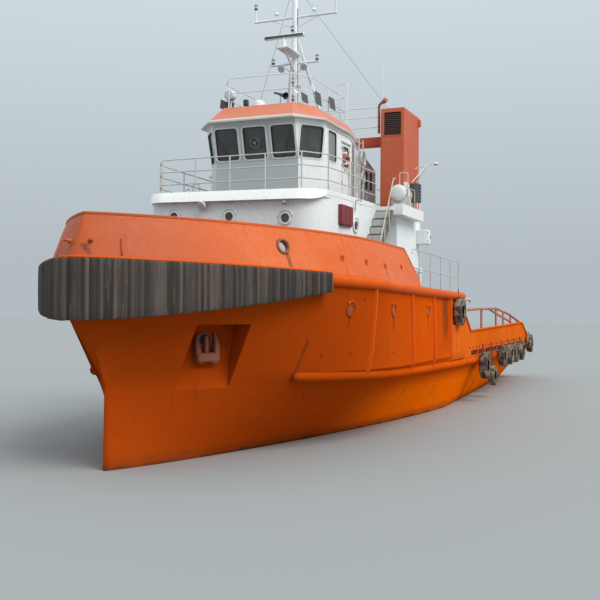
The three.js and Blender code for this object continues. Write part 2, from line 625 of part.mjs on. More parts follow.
function makeWheelhouse() {
  const w = WHEELHOUSE;
  const levels = [BRIDGE_TOP + GAP, w.sill, ROOF.low - GAP];
  const above = (z) => sidePlate([[2000, z - AFT_SLOPE.drop * (AFT_SLOPE.x - 2000)], [AFT_SLOPE.x, z],
    [AFT_SLOPE.x, z + 2000], [2000, z + 2000]], -3000, 3000);
  const core = wheelhouseBlock(WALL, [BRIDGE_TOP - 50, w.sill, ROOF.low]).subtract(above(ROOF.low - WALL));
  const walls = wheelhouseBlock(0, levels).subtract(above(ROOF.low - GAP)).subtract(core);
  const { low, high, frontY, width } = WINDOWS;
  const cuts = frontY.map((y) => wallCut(w.front + 100, y, 0, width, low, high));
  const cheekAngle = Math.atan2(w.front - w.cheekX, w.half - w.corner);
  for (const side of [1, -1]) {
    cuts.push(wallCut(w.cheekX + 480, side * 1740, side * cheekAngle, 840, low, high));
    cuts.push(box(SIDE_WINDOW.x0, SIDE_WINDOW.x1, side * 1700, side * 2400, low, high));
    const { x0, x1, low: foot, high: head } = WH_DOOR;
    cuts.push(box(x0 - DOOR_GAP, x1 + DOOR_GAP, side * 1700, side * 2400, foot - DOOR_GAP, head + DOOR_GAP));
    const a = AFT_WINDOWS;
    cuts.push(box(w.aft - 300, w.aft + 300, side * 300, side * 1500, a.low, a.high));
    for (const x of a.xs) {
      const [x0, x1] = [x - a.width / 2, x + a.width / 2];
      cuts.push(box(x0, x1, side * 1700, side * 2400, a.low + 60, a.high + 50));
    }
  }
  return cuts.reduce((all, cut) => all.subtract(cut), walls);
}

function makeFrontGlazing() {
  const levels = [WINDOWS.low - 40, WINDOWS.high + 80];
  const inner = wheelhouseBlock(WALL + 12, [levels[0] - 20, levels[1] + 20]);
  const ring = wheelhouseBlock(WALL + GAP, levels).subtract(inner);
  return ring.subtract(box(3000, SIDE_WINDOW.x0 - 60, -3000, 3000, 8000, 10000));
}

function makeAftGlazing() {
  const x = WHEELHOUSE.aft + WALL + GAP;
  const y = WHEELHOUSE.half - WALL - GAP;
  const [low, high] = [AFT_WINDOWS.low - 40, AFT_WINDOWS.high + 90];
  return box(x, 4780, -y, y, low, high).subtract(box(x + 12, 5000, 12 - y, y - 12, low - 50, high + 50));
}

function makeWheelhouseDoor(side) {
  const d = WH_DOOR;
  const y1 = WHEELHOUSE.half - 5;
  const panel = box(d.x0, d.x1, side * (y1 - d.thick), side * y1, d.low, d.high);
  return panel.subtract(box(d.x0 + 180, d.x1 - 180, side * 1800, side * 2300, 8450, 9080));
}

function makeRoof() {
  const r = ROOF;
  const ring = (z, front, corner, cheek, half, aft, halfAft) => {
    const port = [[front, corner], [cheek, half], [6700, half], [aft, halfAft]];
    return [...port, ...port.map(([x, y]) => [x, -y]).reverse()].map(([x, y]) => [x, y, z]);
  };
  const edge = [r.frontLow, r.cornerLow, 8950, 2180, 4950, 1900];
  const top = [r.frontHigh, r.cornerHigh, 8460, 1620, 5120, 1580];
  return loft([ring(r.low, ...edge), ring(r.low + 60, ...edge), ring(r.high, ...top)]);
}

function makeFunnel(side) {
  const f = FUNNEL;
  const foot = BRIDGE_TOP + GAP;
  const outline = [[f.front, foot], [f.front - 60, f.top], [f.aft - 60, f.top], [f.aft - 60, f.top - 260],
    [f.aft, f.top - 340], [f.aft, foot]];
  const [y0, y1] = side > 0 ? [f.inner, f.outer] : [-f.outer, -f.inner];
  const body = sidePlate(outline, y0, y1);
  const louvre = box(f.front - 130, f.front + 60, y0 + 130, y1 - 130, 9760, 10550);
  const outlet = rod([f.aft + 200, (y0 + y1) / 2, 10200], [f.aft - 260, (y0 + y1) / 2, 10320], 190, 12);
  return body.subtract(louvre).add(outlet);
}

const BEAM = { x0: 4250, x1: 4600, low: 9540, high: 9860 };

function makeFunnelBeam() {
  const half = FUNNEL.inner - GAP;
  const parts = [box(BEAM.x0, BEAM.x1, -half, half, BEAM.low, BEAM.high)];
  const x = BEAM.x1 - 50;
  for (const rise of [360, 720, 1060])
    parts.push(rod([x, -half, BEAM.high + rise], [x, half, BEAM.high + rise], 20, 4));
  for (const y of [-2700, -1350, 0, 1350, 2700])
    parts.push(rod([x, y, BEAM.high - 20], [x, y, BEAM.high + 1060], 24, 4));
  return join(parts);
}

// A pipe rail: posts and bars along a run of [x, y, foot] points, which may close on itself.
function railing(points, height, bars, closed = false) {
  const parts = points.map(([x, y, z]) => rod([x, y, z], [x, y, z + height + 12], 27, 4));
  const ends = closed ? [...points.slice(1), points[0]] : points.slice(1);
  for (const part of bars)
    ends.forEach(([x, y, z], i) => {
      const [px, py, pz] = points[i];
      parts.push(rod([px, py, pz + height * part], [x, y, z + height * part], 20, 4));
    });
  return join(parts);
}

function makeBridgeRail() {
  const z = BRIDGE_TOP + GAP;
  const port = [[11180, 0], [11180, 1150], [11180, 2300], [10400, 2830], [8700, 2950], [6480, 3030]];
  const outline = [...port.slice(1).map(([x, y]) => [x, -y]).reverse(), ...port];
  return railing(outline.map(([x, y]) => [x, y, z]), 1180, [0.36, 0.68, 1]);
}

function makeAftBridgeRail() {
  const z = BRIDGE_TOP + GAP;
  const x = CASING.aft - 90;
  const half = [[x, 3650], [x, 1800], [x, 0]];
  const outline = [...half, ...half.slice(0, -1).map(([x, y]) => [x, -y]).reverse()];
  return railing(outline.map(([x, y]) => [x, y, z]), 1060, [0.5, 1]);
}

function makeRoofRail() {
  const z = ROOF.high + GAP;
  const port = [[9120, 1080], [8420, 1500], [6900, 1500], [5220, 1500]];
  const outline = [...port, ...port.map(([x, y]) => [x, -y]).reverse()];
  return railing(outline.map(([x, y]) => [x, y, z]), 950, [0.5, 1], true);
}

function makeSideRail(side) {
  const xs = [6450, 4980, 3520, 2060, 640];
  const points = xs.map((x) => [x, side * (hullHalf(x, deckZ(x)) - 160), deckZ(x) - 20]);
  return onHull(railing(points, 1200, [0.5, 1]));
}

// Steep stair up the outside of the deckhouse, treads between two stringers.
function makeStair(side) {
  const foot = { x: 8950, z: deckZ(8950) };
  const steps = 9;
  const rise = (BRIDGE_Z - 20 - foot.z) / steps;
  const going = 222;
  const [y0, y1] = [side * (HOUSE.halfAft + 25), side * (HOUSE.halfAft + 600)];
  const parts = [];
  for (let i = 1; i < steps; i++) {
    const x = foot.x - going * i;
    parts.push(box(x - 120, x + 120, y0, y1, foot.z + rise * i - 40, foot.z + rise * i));
  }
  const end = foot.x - going * (steps - 0.2);
  const head = BRIDGE_Z - 20;
  const under = [[foot.x - 260, foot.z], [end - 60, head - 40]];
  const profile = [[foot.x, foot.z], ...under, [end - 60, head], [end + 180, head]];
  for (const y of [y0, y1 - side * 30])
    parts.push(sidePlate(profile, Math.min(y, y + side * 30), Math.max(y, y + side * 30)));
  const railY = y1 - side * 15;
  const hand = [[foot.x - 120, railY, foot.z + 950], [end + 60, railY, BRIDGE_Z + 980]];
  parts.push(rod(...hand, 20, 4));
  for (const [x, y, z] of hand) parts.push(rod([x, y, z - 1000], [x, y, z], 20, 4));
  return onHull(join(parts));
}

function makeMast() {
  const base = ROOF.high + GAP;
  const { x, top, r } = MAST;
  const parts = [rod([x, 0, base - 50], [x, 0, top], r, 10)];
  for (const side of [1, -1]) {
    parts.push(rod([x - 900, side * 750, base - 50], [x - 40, side * 30, 13300], 55, 6));
    parts.push(rod([x, side * 1500, 13900], [x, side * 1500, 14350], 30, 6));
  }
  parts.push(rod([x, -1550, 13900], [x, 1550, 13900], 45, 6));
  parts.push(rod([x, -900, 12300], [x, 900, 12300], 40, 6));
  parts.push(box(x - 60, RADAR.x + 200, -220, 220, 12540, 12600));
  parts.push(rod([x + 60, 0, 12000], [RADAR.x, 0, 12560], 40, 6));
  return join(parts).subtract(box(4000, 8000, -3000, 3000, base - 500, base));
}

const RADAR = { x: MAST.x + 950, z: 12601, half: 740 };

function makeRadarScanner() {
  const { x, z, half } = RADAR;
  const hub = turned([[0, 310], [90, 310], [90, 6], [0, 6]], "Z", [x, 0, z], 12);
  return hub.add(box(x - 70, x + 70, -half, half, z + 300, z + 440));
}

function makeConsole() {
  const foot = BRIDGE_TOP + GAP;
  const outline = [[8280, foot], [9050, foot], [9050, 8280], [8650, 8280], [8280, 8000]];
  return sidePlate(outline, -1150, 1150);
}

function makeHelmChair() {
  const x = 7750;
  const z = BRIDGE_TOP + GAP;
  const pedestal = turned([[0, 0], [230, 0], [230, 40], [50, 60], [50, 520], [0, 520]], "Z", [x, 0, z], 12);
  const seat = box(x - 260, x + 260, -270, 270, z + 500, z + 640);
  const back = box(x - 290, x - 190, -250, 250, z + 600, z + 1350);
  return join([pedestal, seat, back]);
}

function makeLifeRaft(side) {
  const [x, y, z] = [5880, side * 3720, 7680];
  const half = 470;
  const profile = [[0, -half], [200, -half], [280, -half + 90], [280, half - 90], [200, half], [0, half]];
  const can = turned(profile, "X", [x, y, z], 16);
  const foot = BRIDGE_TOP + GAP;
  const legs = [-250, 250].map((dx) => box(x + dx - 40, x + dx + 40, y - 260, y + 260, foot, z - 120));
  return join([can, ...legs]);
}

const ANCHOR = { u: 154, z: 2720 }; // place of its middle on the pocket
const ANCHOR_BLOCKS = [ // width along the side, depth, height, and middle: along the side, outboard, up
  [110, 160, 520, 0, -105, 120], [600, 300, 230, 0, -40, -150],
  [130, 220, 620, -235, -75, 150], [130, 220, 620, 235, -75, 150],
];

// Stockless anchor housed with its crown outwards: shank, crown and two arms.
function makeAnchor(side) {
  const blocks = ANCHOR_BLOCKS.map(([w, d, h, ...middle]) =>
    solidOf(new THREE.BoxGeometry(w, d, h).translate(...middle)));
  const [x, y] = pocketPoint(ANCHOR.u, 0);
  const turn = new THREE.Matrix4().makeRotationZ(Math.atan2(POCKET.n[1], POCKET.n[0]) - Math.PI / 2);
  turn.premultiply(new THREE.Matrix4().makeTranslation(x, y, ANCHOR.z));
  const anchor = solidOf(geometryOf(join(blocks)).applyMatrix4(turn));
  return side > 0 ? anchor : mirrorY(anchor);
}

function makeForeBitt() {
  const z = deckZ(16300) - 20;
  const posts = [1, -1].map((side) => rod([16300, side * 380, z], [16300, side * 380, z + 900], 140, 12));
  return onHull(join([...posts, rod([16300, -650, z + 620], [16300, 650, z + 620], 80, 10)]));
}

function makeAftBitts(side) {
  const [y, z] = [side * 3500, AFT_DECK_Z + GAP];
  const posts = [-350, 350].map((dx) => rod([-15600 + dx, y, z], [-15600 + dx, y, z + 650], 130, 12));
  return join([...posts, box(-16200, -15000, y - 200, y + 200, z, z + 60)]);
}

function makeHatchLid() {
  const { x, y, half, rise } = HATCH;
  const z = AFT_DECK_Z + rise + 6;
  return box(x - half - 20, x + half + 20, y - half - 20, y + half + 20, z, z + 50);
}

function makeBreakDoor() {
  const d = BREAK_DOOR;
  return box(BREAK_X + 5, BREAK_X + 55, d.y - d.width / 2, d.y + d.width / 2, d.low, d.high);
}

function makeCasingDoor() {
  const d = CASING_DOOR;
  return box(CASING.aft + 5, CASING.aft + 55, d.y - d.width / 2, d.y + d.width / 2, d.low, d.high);
}

const BLADE = [ // part of the radius, half chord, angle, half thickness
  [0.12, 190, 0.95, 45], [0.5, 370, 0.6, 26], [0.84, 400, 0.42, 16], [0.99, 330, 0.36, 9],
];

function makePropeller(side) {
  const { y, z, propX, propR } = SHAFT;
  const hub = turned([[0, -330], [120, -280], [190, -60], [200, 380], [0, 380]], "X", [propX, 0, 0], 16);
  const parts = [hub];
  for (let i = 0; i < 4; i++) {
    const ring = (r, half, pitch, t) => {
      const [c, s] = [Math.cos(pitch) * half, Math.sin(pitch) * half];
      const [tx, ty] = [Math.sin(pitch) * t, -Math.cos(pitch) * t];
      const corners = [[s - tx, c - ty], [s + tx, c + ty], [tx - s, ty - c], [-s - tx, -c - ty]];
      return corners.map(([dx, dy]) => [propX + dx, dy, r]);
    };
    const blade = loft(BLADE.map(([r, half, pitch, t]) => ring(r * propR, half, side * pitch, t)));
    parts.push(solidOf(geometryOf(blade).rotateX((i * Math.PI) / 2)));
  }
  const tip = propR - 10;
  const disc = turned([[0, -900], [tip, -900], [tip, 900], [0, 900]], "X", [propX, 0, 0], 16);
  const tipped = join(parts).intersect(disc);
  return solidOf(geometryOf(tipped).translate(0, side * y, z));
}

// Ring nozzle with a foil section, hung from the hull by a headbox.
function makeNozzle(side) {
  const { y, z, propX, nozzleR, nozzleOut } = SHAFT;
  const profile = [[nozzleR + 10, 560], [nozzleOut - 70, 540], [nozzleOut, 200], [nozzleR + 90, -500],
    [nozzleR + 40, -540], [nozzleR, -100], [nozzleR, 200], [nozzleR + 10, 560]];
  const ring = turned(profile, "X", [propX, side * y, z], 20);
  const foot = z + nozzleOut - 60;
  const head = box(propX - 400, propX + 450, side * y - 260, side * y + 260, foot, foot + 960);
  return onHull(ring.add(head));
}

function makeRudder(side) {
  const { y, z } = SHAFT;
  const half = [[300, 75], [100, 100], [-500, 55], [-900, 12]];
  const foil = [[360, 0], ...half, ...half.map(([dx, dy]) => [dx, -dy]).reverse()];
  const outline = foil.map(([dx, dy]) => [RUDDER_X + dx, side * y + dy]);
  const blade = prism(outline, z - 1150, z + 1080);
  const stockTop = RUDDER_TRUNK.bottom - RUNNING_GAP;
  return blade.add(rod([RUDDER_X, side * y, z + 1000], [RUDDER_X, side * y, stockTop], 90, 12));
}

const PORT_AND_STARBOARD = [["port", 1], ["starboard", -1]];

addMesh("hull", makeHull(), ORANGE, 0.5);
addMesh("skeg", makeSkeg(), ORANGE, 0.5);
addMesh("bow_bulwark", makeBowBulwark(), ORANGE, 0.5);
addMesh("bow_fender", makeBowFender(), RUBBER, 0.9, 0);
addMesh("stern_roller", makeRoller(), STEEL, 0.4, 0.8);
addMesh("winch_frame", drumFrame(WINCH, AFT_DECK_Z + GAP, 850, 130, 120), ORANGE);
addMesh("winch_drum", drumSolid(WINCH, WINCH.half + 140, 130), STEEL, 0.5, 0.6);
addMesh("windlass_frame", onHull(drumFrame(WINDLASS, deckZ(WINDLASS.x) - 40, 380, 60, 70)), GREY);
addMesh("windlass_drum", drumSolid(WINDLASS, WINDLASS.half + 90, 60), STEEL, 0.5, 0.6);
addMesh("deckhouse", makeDeckhouse(), WHITE);
addMesh("engine_casing", makeCasing(), WHITE);
addMesh("casing_door", makeCasingDoor(), WHITE);
addMesh("break_door", makeBreakDoor(), ORANGE);
addMesh("bridge_deck", makeBridgeDeck(), WHITE);
addMesh("wheelhouse", makeWheelhouse(), WHITE);
addMesh("wheelhouse_roof", makeRoof(), ORANGE);
addMesh("front_glazing", makeFrontGlazing(), 0x3c4446, 0.1, 0);
addMesh("aft_glazing", makeAftGlazing(), 0x3c4446, 0.1, 0);
addMesh("bridge_console", makeConsole(), GREY);
addMesh("helm_chair", makeHelmChair(), 0x2c2c2e, 0.8, 0);
addMesh("funnel_beam", makeFunnelBeam(), RED_ORANGE);
addMesh("bridge_rail", makeBridgeRail(), WHITE);
addMesh("aft_bridge_rail", makeAftBridgeRail(), WHITE);
addMesh("roof_rail", makeRoofRail(), WHITE);
addMesh("mast", makeMast(), WHITE);
addMesh("radar_scanner", makeRadarScanner(), WHITE);
addMesh("fore_bitt", makeForeBitt(), STEEL, 0.6, 0.5);
addMesh("hatch_lid", makeHatchLid(), ORANGE);
for (const [name, side] of PORT_AND_STARBOARD) {
  addMesh(`side_guards_${name}`, makeSideGuards(side), ORANGE, 0.5);
  addMesh(`stern_tube_${name}`, makeSternTube(side), ORANGE, 0.5);
  addMesh(`aft_bulwark_${name}`, makeAftBulwark(side), ORANGE, 0.5);
  addMesh(`crash_rail_${name}`, makeCrashRail(side), 0xb9694f);
  addMesh(`tyre_fenders_${name}`, makeTyres(side), RUBBER, 0.95, 0);
  addMesh(`wheelhouse_door_${name}`, makeWheelhouseDoor(side), WHITE);
  addMesh(`funnel_${name}`, makeFunnel(side), RED_ORANGE);
  addMesh(`side_rail_${name}`, makeSideRail(side), GREY);
  addMesh(`stair_${name}`, makeStair(side), GREY);
  addMesh(`life_raft_${name}`, makeLifeRaft(side), WHITE);
  addMesh(`anchor_${name}`, makeAnchor(side), ORANGE);
  addMesh(`aft_bitts_${name}`, makeAftBitts(side), STEEL, 0.6, 0.5);
  addMesh(`propeller_${name}`, makePropeller(side), 0xa08a4a, 0.35, 0.9);
  addMesh(`nozzle_${name}`, makeNozzle(side), RED_ORANGE);
  addMesh(`rudder_${name}`, makeRudder(side), RED_ORANGE);
}

export default root;
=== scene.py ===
# Looks of a twin screw anchor handling tug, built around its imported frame. Metres, +X bow, +Y port, +Z up.
import math
import bpy
import bmesh
import numpy as np
from numpy import arange, array, asarray, column_stack, concatenate, stack
from mathutils import Matrix


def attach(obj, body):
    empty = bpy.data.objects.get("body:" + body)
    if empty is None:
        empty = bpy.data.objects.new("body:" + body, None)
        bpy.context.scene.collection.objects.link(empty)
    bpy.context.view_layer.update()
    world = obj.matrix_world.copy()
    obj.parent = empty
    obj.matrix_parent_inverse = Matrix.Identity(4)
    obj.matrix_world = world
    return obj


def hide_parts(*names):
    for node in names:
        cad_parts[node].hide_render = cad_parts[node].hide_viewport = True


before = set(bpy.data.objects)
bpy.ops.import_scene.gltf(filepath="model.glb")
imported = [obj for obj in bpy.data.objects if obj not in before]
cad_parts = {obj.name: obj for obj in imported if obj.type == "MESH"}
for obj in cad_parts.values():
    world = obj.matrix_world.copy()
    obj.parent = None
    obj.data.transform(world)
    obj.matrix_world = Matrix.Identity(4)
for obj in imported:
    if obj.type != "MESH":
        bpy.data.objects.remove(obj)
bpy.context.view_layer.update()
print("frame loaded")

# Camera, lights and floor
view = {"place": (35.486, 12.262, 3.714), "yaw": 22.36, "pitch": 0.693, "roll": -0.195, "focal": 918.16,
    "frame": 600}
light = {"sun": 2.3, "sunAngle": 40, "sunFrom": (0.26, 0.64, 0.72), "sky": (0.565, 1.16),
    "skyColour": (0.79, 0.893, 0.955, 1), "floor": (0.3, 0.31, 0.31)}


def newObject(name, data):
    made = bpy.data.objects.new(name, data)
    bpy.context.scene.collection.objects.link(made)
    return made


def makeCamera():
    yaw, pitch, roll = (math.radians(view[k]) for k in ("yaw", "pitch", "roll"))
    level = array([-math.cos(yaw), -math.sin(yaw), 0])
    up = array([0, 0, 1.0])
    ahead = level * math.cos(pitch) + up * math.sin(pitch)
    high = up * math.cos(pitch) - level * math.sin(pitch)
    right = array([-math.sin(yaw), math.cos(yaw), 0])
    side = right * math.cos(roll) - high * math.sin(roll)
    top = high * math.cos(roll) + right * math.sin(roll)
    data = bpy.data.cameras.new("camera")
    data.sensor_width = 36
    data.lens = view["focal"] / view["frame"] * 36
    data.clip_end = 1000
    camera = newObject("camera", data)
    columns = stack([side, top, -ahead], 1)
    camera.matrix_world = Matrix.Translation(view["place"]) @ Matrix(columns.tolist()).to_4x4()
    bpy.context.scene.camera = camera


def makeLight():
    data = bpy.data.lights.new("sun", "SUN")
    data.energy = light["sun"]
    data.angle = math.radians(light["sunAngle"])
    data.color = (1.0, 0.965, 0.91)
    sun = newObject("sun", data)
    back = array(light["sunFrom"]) / np.linalg.norm(light["sunFrom"])
    side = np.cross([0, 0, 1.0], back)
    side /= np.linalg.norm(side)
    sun.matrix_world = Matrix(stack([side, np.cross(back, side), back], 1).tolist()).to_4x4()
    world = bpy.data.worlds.new("sky")
    world.use_nodes = True
    world.node_tree.nodes["Background"].inputs["Color"].default_value = light["skyColour"]
    nodes, links = world.node_tree.nodes, world.node_tree.links
    parts = nodes.new("ShaderNodeSeparateXYZ")
    height = nodes.new("ShaderNodeMapRange")  # brighter overhead than at the horizon
    for socket, value in zip(("From Min", "From Max", "To Min", "To Max"), (0.05, 0.8, *light["sky"])):
        height.inputs[socket].default_value = value
    links.new(nodes.new("ShaderNodeTexCoord").outputs["Generated"], parts.inputs[0])
    links.new(parts.outputs["Z"], height.inputs["Value"])
    links.new(height.outputs[0], nodes["Background"].inputs["Strength"])
    bpy.context.scene.world = world
    bpy.context.scene.view_settings.view_transform = "Standard"


makeCamera()
makeLight()
print("camera and light made")


# Shader maths
class Value:  # one socket, which takes part in sums
    def __init__(self, tree, socket):
        self.tree = tree
        self.socket = socket

    def math(self, kind, *others):
        node = self.tree.nodes.new("ShaderNodeMath")
        node.operation = kind
        for slot, item in enumerate((self, *others)):
            give(self.tree, node.inputs[slot], item)
        return Value(self.tree, node.outputs[0])

    def flipped(self, kind, other):
        node = self.tree.nodes.new("ShaderNodeMath")
        node.operation = kind
        give(self.tree, node.inputs[0], other)
        give(self.tree, node.inputs[1], self)
        return Value(self.tree, node.outputs[0])

    def __add__(self, other): return self.math("ADD", other)
    def __radd__(self, other): return self.math("ADD", other)
    def __sub__(self, other): return self.math("SUBTRACT", other)
    def __rsub__(self, other): return self.flipped("SUBTRACT", other)
    def __mul__(self, other): return self.math("MULTIPLY", other)
    def __rmul__(self, other): return self.math("MULTIPLY", other)
    def __truediv__(self, other): return self.math("DIVIDE", other)
    def __pow__(self, other): return self.math("POWER", other)

    def above(self, low, high):  # 0 below low, 1 over high, smooth between
        node = self.tree.nodes.new("ShaderNodeMapRange")
        node.interpolation_type = "SMOOTHSTEP"
        for name, item in (("Value", self), ("From Min", low), ("From Max", high)):
            give(self.tree, node.inputs[name], item)
        return Value(self.tree, node.outputs[0])


def give(tree, socket, item):
    if isinstance(item, Value):
        tree.links.new(item.socket, socket)
    else:
        socket.default_value = (*item, 1) if socket.type == "RGBA" else item


class Finish:  # one material
    def __init__(self, name):
        self.material = bpy.data.materials.new(name)
        self.material.use_nodes = True
        self.tree = self.material.node_tree
        self.shader = self.tree.nodes["Principled BSDF"]
        self.place = self.node("ShaderNodeTexCoord", out="Object")
        self.x, self.y, self.z = self.parts(self.place)
        self.facing = self.parts(self.node("ShaderNodeNewGeometry", out="Normal"))

    def node(self, kind, settings=None, inputs=None, out=0):
        made = self.tree.nodes.new(kind)
        for name, item in (settings or {}).items():
            setattr(made, name, item)
        for name, item in (inputs or {}).items():
            give(self.tree, made.inputs[name], item)
        return Value(self.tree, made.outputs[out])

    def parts(self, vector):
        made = self.tree.nodes.new("ShaderNodeSeparateXYZ")
        give(self.tree, made.inputs[0], vector)
        return [Value(self.tree, made.outputs[i]) for i in range(3)]

    def stretched(self, x, y, z):  # place, scaled along each axis
        return self.node("ShaderNodeMapping", None, {"Vector": self.place, "Scale": (x, y, z)})

    def noise(self, scale, detail, rough=0.55, place=None):
        inputs = {"Vector": place or self.place, "Scale": scale, "Detail": detail, "Roughness": rough}
        return self.node("ShaderNodeTexNoise", None, inputs, "Fac")

    def mix(self, factor, first, second):
        made = self.tree.nodes.new("ShaderNodeMix")
        made.data_type = "RGBA"
        for slot, item in ((0, factor), (6, first), (7, second)):
            give(self.tree, made.inputs[slot], item)
        return Value(self.tree, made.outputs[2])

    def bump(self, height):  # height in metres
        return self.node("ShaderNodeBump", None, {"Height": height, "Distance": 1.0, "Strength": 1.0})

    def done(self, **sockets):
        names = {"colour": "Base Color", "rough": "Roughness", "metal": "Metallic", "normal": "Normal",
            "clear": "Transmission Weight", "ior": "IOR", "shine": "Specular IOR Level"}
        for name, item in sockets.items():
            give(self.tree, self.shader.inputs[names[name]], item)
        return self.material


rust = (0.115, 0.036, 0.014)
grime = (0.07, 0.05, 0.035)
redGrime = (0.17, 0.035, 0.008)


def paintedSteel(name, colour, faded, rough, wear, streaks, plates=0.0, waterStain=False, deck=None, below=None,
        shine=0.4, shade=None, spills=(), lift=None, ahead=None, dirt=grime):
    f = Finish(name)
    broad = f.noise(0.35, 5, 0.6)
    fine = f.noise(9, 5, 0.6)
    base = f.mix(broad.above(0.38, 0.66), colour, faded)
    dull = tuple(0.72 * c for c in colour)
    base = f.mix(fine.above(0.45, 0.75) * 0.35, base, dull)
    runs = f.noise(1, 6, 0.62, f.stretched(5.5, 5.5, 0.32)).above(0.53, 0.74)
    runs = runs * f.noise(0.7, 3).above(0.42, 0.62)
    base = f.mix(runs * streaks, base, dirt)
    chips = f.noise(3.2, 9, 0.72).above(0.655, 0.7) * f.noise(0.55, 3).above(0.5, 0.66)
    upright = 1 - f.facing[2].math("ABSOLUTE").above(0.6, 0.9)
    rusty = f.noise(1, 6, 0.65, f.stretched(7.0, 7.0, 0.55)).above(0.6, 0.72) * f.noise(0.8, 4).above(0.5, 0.62)
    marks = (chips * wear).math("MAXIMUM", rusty * upright * wear * 0.75)
    base = f.mix(marks, base, rust)
    roughness = rough + fine * 0.16 + marks * 0.3 + runs * 0.15
    height = f.noise(26, 3) * 0.0006 + chips * -0.0012
    if plates:
        frameLine = (f.x * (math.pi / 0.6)).math("SINE").math("ABSOLUTE") ** 0.6
        stringer = ((f.z + 0.2) * (math.pi / 1.1)).math("SINE").math("ABSOLUTE") ** 0.6
        dents = f.noise(1.1, 2) * 0.014
        height = height + frameLine * stringer * (-0.004 * plates) + dents * plates
        weld = (((f.z * (1 / 1.65)).math("FRACT") - 0.5).math("ABSOLUTE") * 1.65).above(0.012, 0.0)
        butt = (((f.x * (1 / 4.2) + 0.3).math("FRACT") - 0.5).math("ABSOLUTE") * 4.2).above(0.012, 0.0)
        height = height + weld.math("MAXIMUM", butt) * 0.003
    if shade:  # painted shade: darker towards one end of the ship, between x shade[0] and shade[1]
        base = f.mix(f.x.above(shade[0], shade[1]), base, f.mix(0.6, base, shade[2]))
    if lift:  # brighter low down and aft, where the water throws light up
        base = f.mix((1 - f.x.above(lift[0], lift[1])) * (1 - f.z.above(lift[2], lift[2] + 0.7)) * 0.95, base,
            lift[3])
    if ahead:  # the face to the bow stands in shade
        base = f.mix(f.facing[0].above(0.6, 0.9), base, ahead)
    for x, top, length, width in spills:  # rust colour run down from a point, most below a fitting
        drift = (f.noise(3.0, 3, 0.5, f.stretched(1, 1, 0.6)) - 0.5) * 0.1
        across = 1 - ((f.x - x + drift).math("ABSOLUTE") / width).above(0.35, 1.0)
        down = (1 - ((top - f.z) / length).above(0.35, 1.0)) * (top - f.z).above(-0.01, 0.03)
        base = f.mix(across * down * upright * (0.42 + 0.38
            * f.noise(14, 4, 0.6, f.stretched(1, 1, 0.15)).above(0.35, 0.6)), base, rust)
    if waterStain:
        edge = f.z + (f.noise(1.6, 5) - 0.5) * 0.24
        damp = 1 - edge.above(0.16, 0.34)
        weed = 1 - edge.above(-0.02, 0.14)
        base = f.mix(damp * 0.42, base, (0.2, 0.045, 0.012))
        base = f.mix(weed * 0.8, base, (0.035, 0.03, 0.016))
        roughness = roughness - damp * 0.14
    if below:
        under = 1 - f.z.above(-0.06, -0.02)
        base = f.mix(under, base, f.mix(f.noise(2.2, 6).above(0.45, 0.6), below, (0.07, 0.075, 0.05)))
        roughness = roughness + under * 0.3
    if deck:
        top = f.facing[2].above(0.82, 0.92) * f.z.above(0.4, 0.5)
        worn = f.mix(f.noise(0.8, 6).above(0.46, 0.62), deck, tuple(0.6 * c for c in deck))
        worn = f.mix(f.noise(2.4, 8, 0.7).above(0.6, 0.68), worn, rust)
        base = f.mix(top, base, worn)
        roughness = roughness + top * 0.25
    return f.done(colour=base, rough=roughness, normal=f.bump(height), shine=shine)


def fenderRubber():
    f = Finish("fenderRubber")
    tone = f.node("ShaderNodeAttribute", {"attribute_name": "rib"}, None, "Fac")
    streak = f.noise(1, 5, 0.6, f.stretched(14, 14, 0.9))
    base = f.mix(tone.above(0.05, 0.95), (0.03, 0.024, 0.021), (0.105, 0.08, 0.066))
    base = f.mix(streak.above(0.5, 0.75) * 0.55, base, (0.15, 0.12, 0.1))
    scraped = f.noise(2.2, 7, 0.7).above(0.6, 0.7)
    base = f.mix(scraped * 0.35, base, (0.22, 0.075, 0.03))
    height = f.noise(40, 4) * 0.004 + f.noise(1, 4, 0.6, f.stretched(30, 30, 1.2)) * 0.006
    return f.done(colour=base, rough=0.78 + streak * 0.15, normal=f.bump(height), shine=0.3)


def tyreRubber():
    f = Finish("tyreRubber")
    dust = f.noise(3.5, 6, 0.65)
    base = f.mix(dust.above(0.42, 0.66), (0.04, 0.03, 0.025), (0.33, 0.25, 0.18))
    base = f.mix(f.noise(1.3, 6, 0.7).above(0.6, 0.68) * 0.5, base, (0.26, 0.075, 0.02))
    height = f.noise(60, 3) * 0.002 + f.noise(7, 4) * 0.006
    return f.done(colour=base, rough=0.7 + dust * 0.2, normal=f.bump(height), shine=0.35)


def bareSteel(name, colour, rough, metal, rusted):
    f = Finish(name)
    patch = f.noise(2.6, 7, 0.65)
    base = f.mix(patch.above(0.4, 0.7), colour, tuple(0.55 * c for c in colour))
    mask = f.noise(5, 8, 0.7).above(0.62 - 0.14 * rusted, 0.72 - 0.1 * rusted)
    base = f.mix(mask * rusted, base, rust)
    height = f.noise(45, 4) * 0.0008 + mask * 0.0012
    return f.done(colour=base, rough=rough + mask * 0.35, metal=metal * (1 - mask), normal=f.bump(height))


def windowGlass(name, low, high, rough, clear):
    f = Finish(name)
    film = f.noise(2.5, 5)
    return f.done(colour=f.mix(film.above(0.4, 0.7), low, high), rough=rough + film * 0.05, clear=clear,
        ior=1.45)


def plastic(name, colour, rough, grain=0.0006, wear=0.4):
    f = Finish(name)
    worn = f.noise(6, 6, 0.65)
    base = f.mix(worn.above(0.45, 0.75) * wear, colour, tuple(min(1, 0.6 * c + 0.05) for c in colour))
    base = f.mix(f.noise(1, 5, 0.6, f.stretched(12, 12, 1)).above(0.6, 0.75) * wear * 0.5, base, grime)
    return f.done(colour=base, rough=rough + worn * 0.2, normal=f.bump(f.noise(80, 3) * grain))
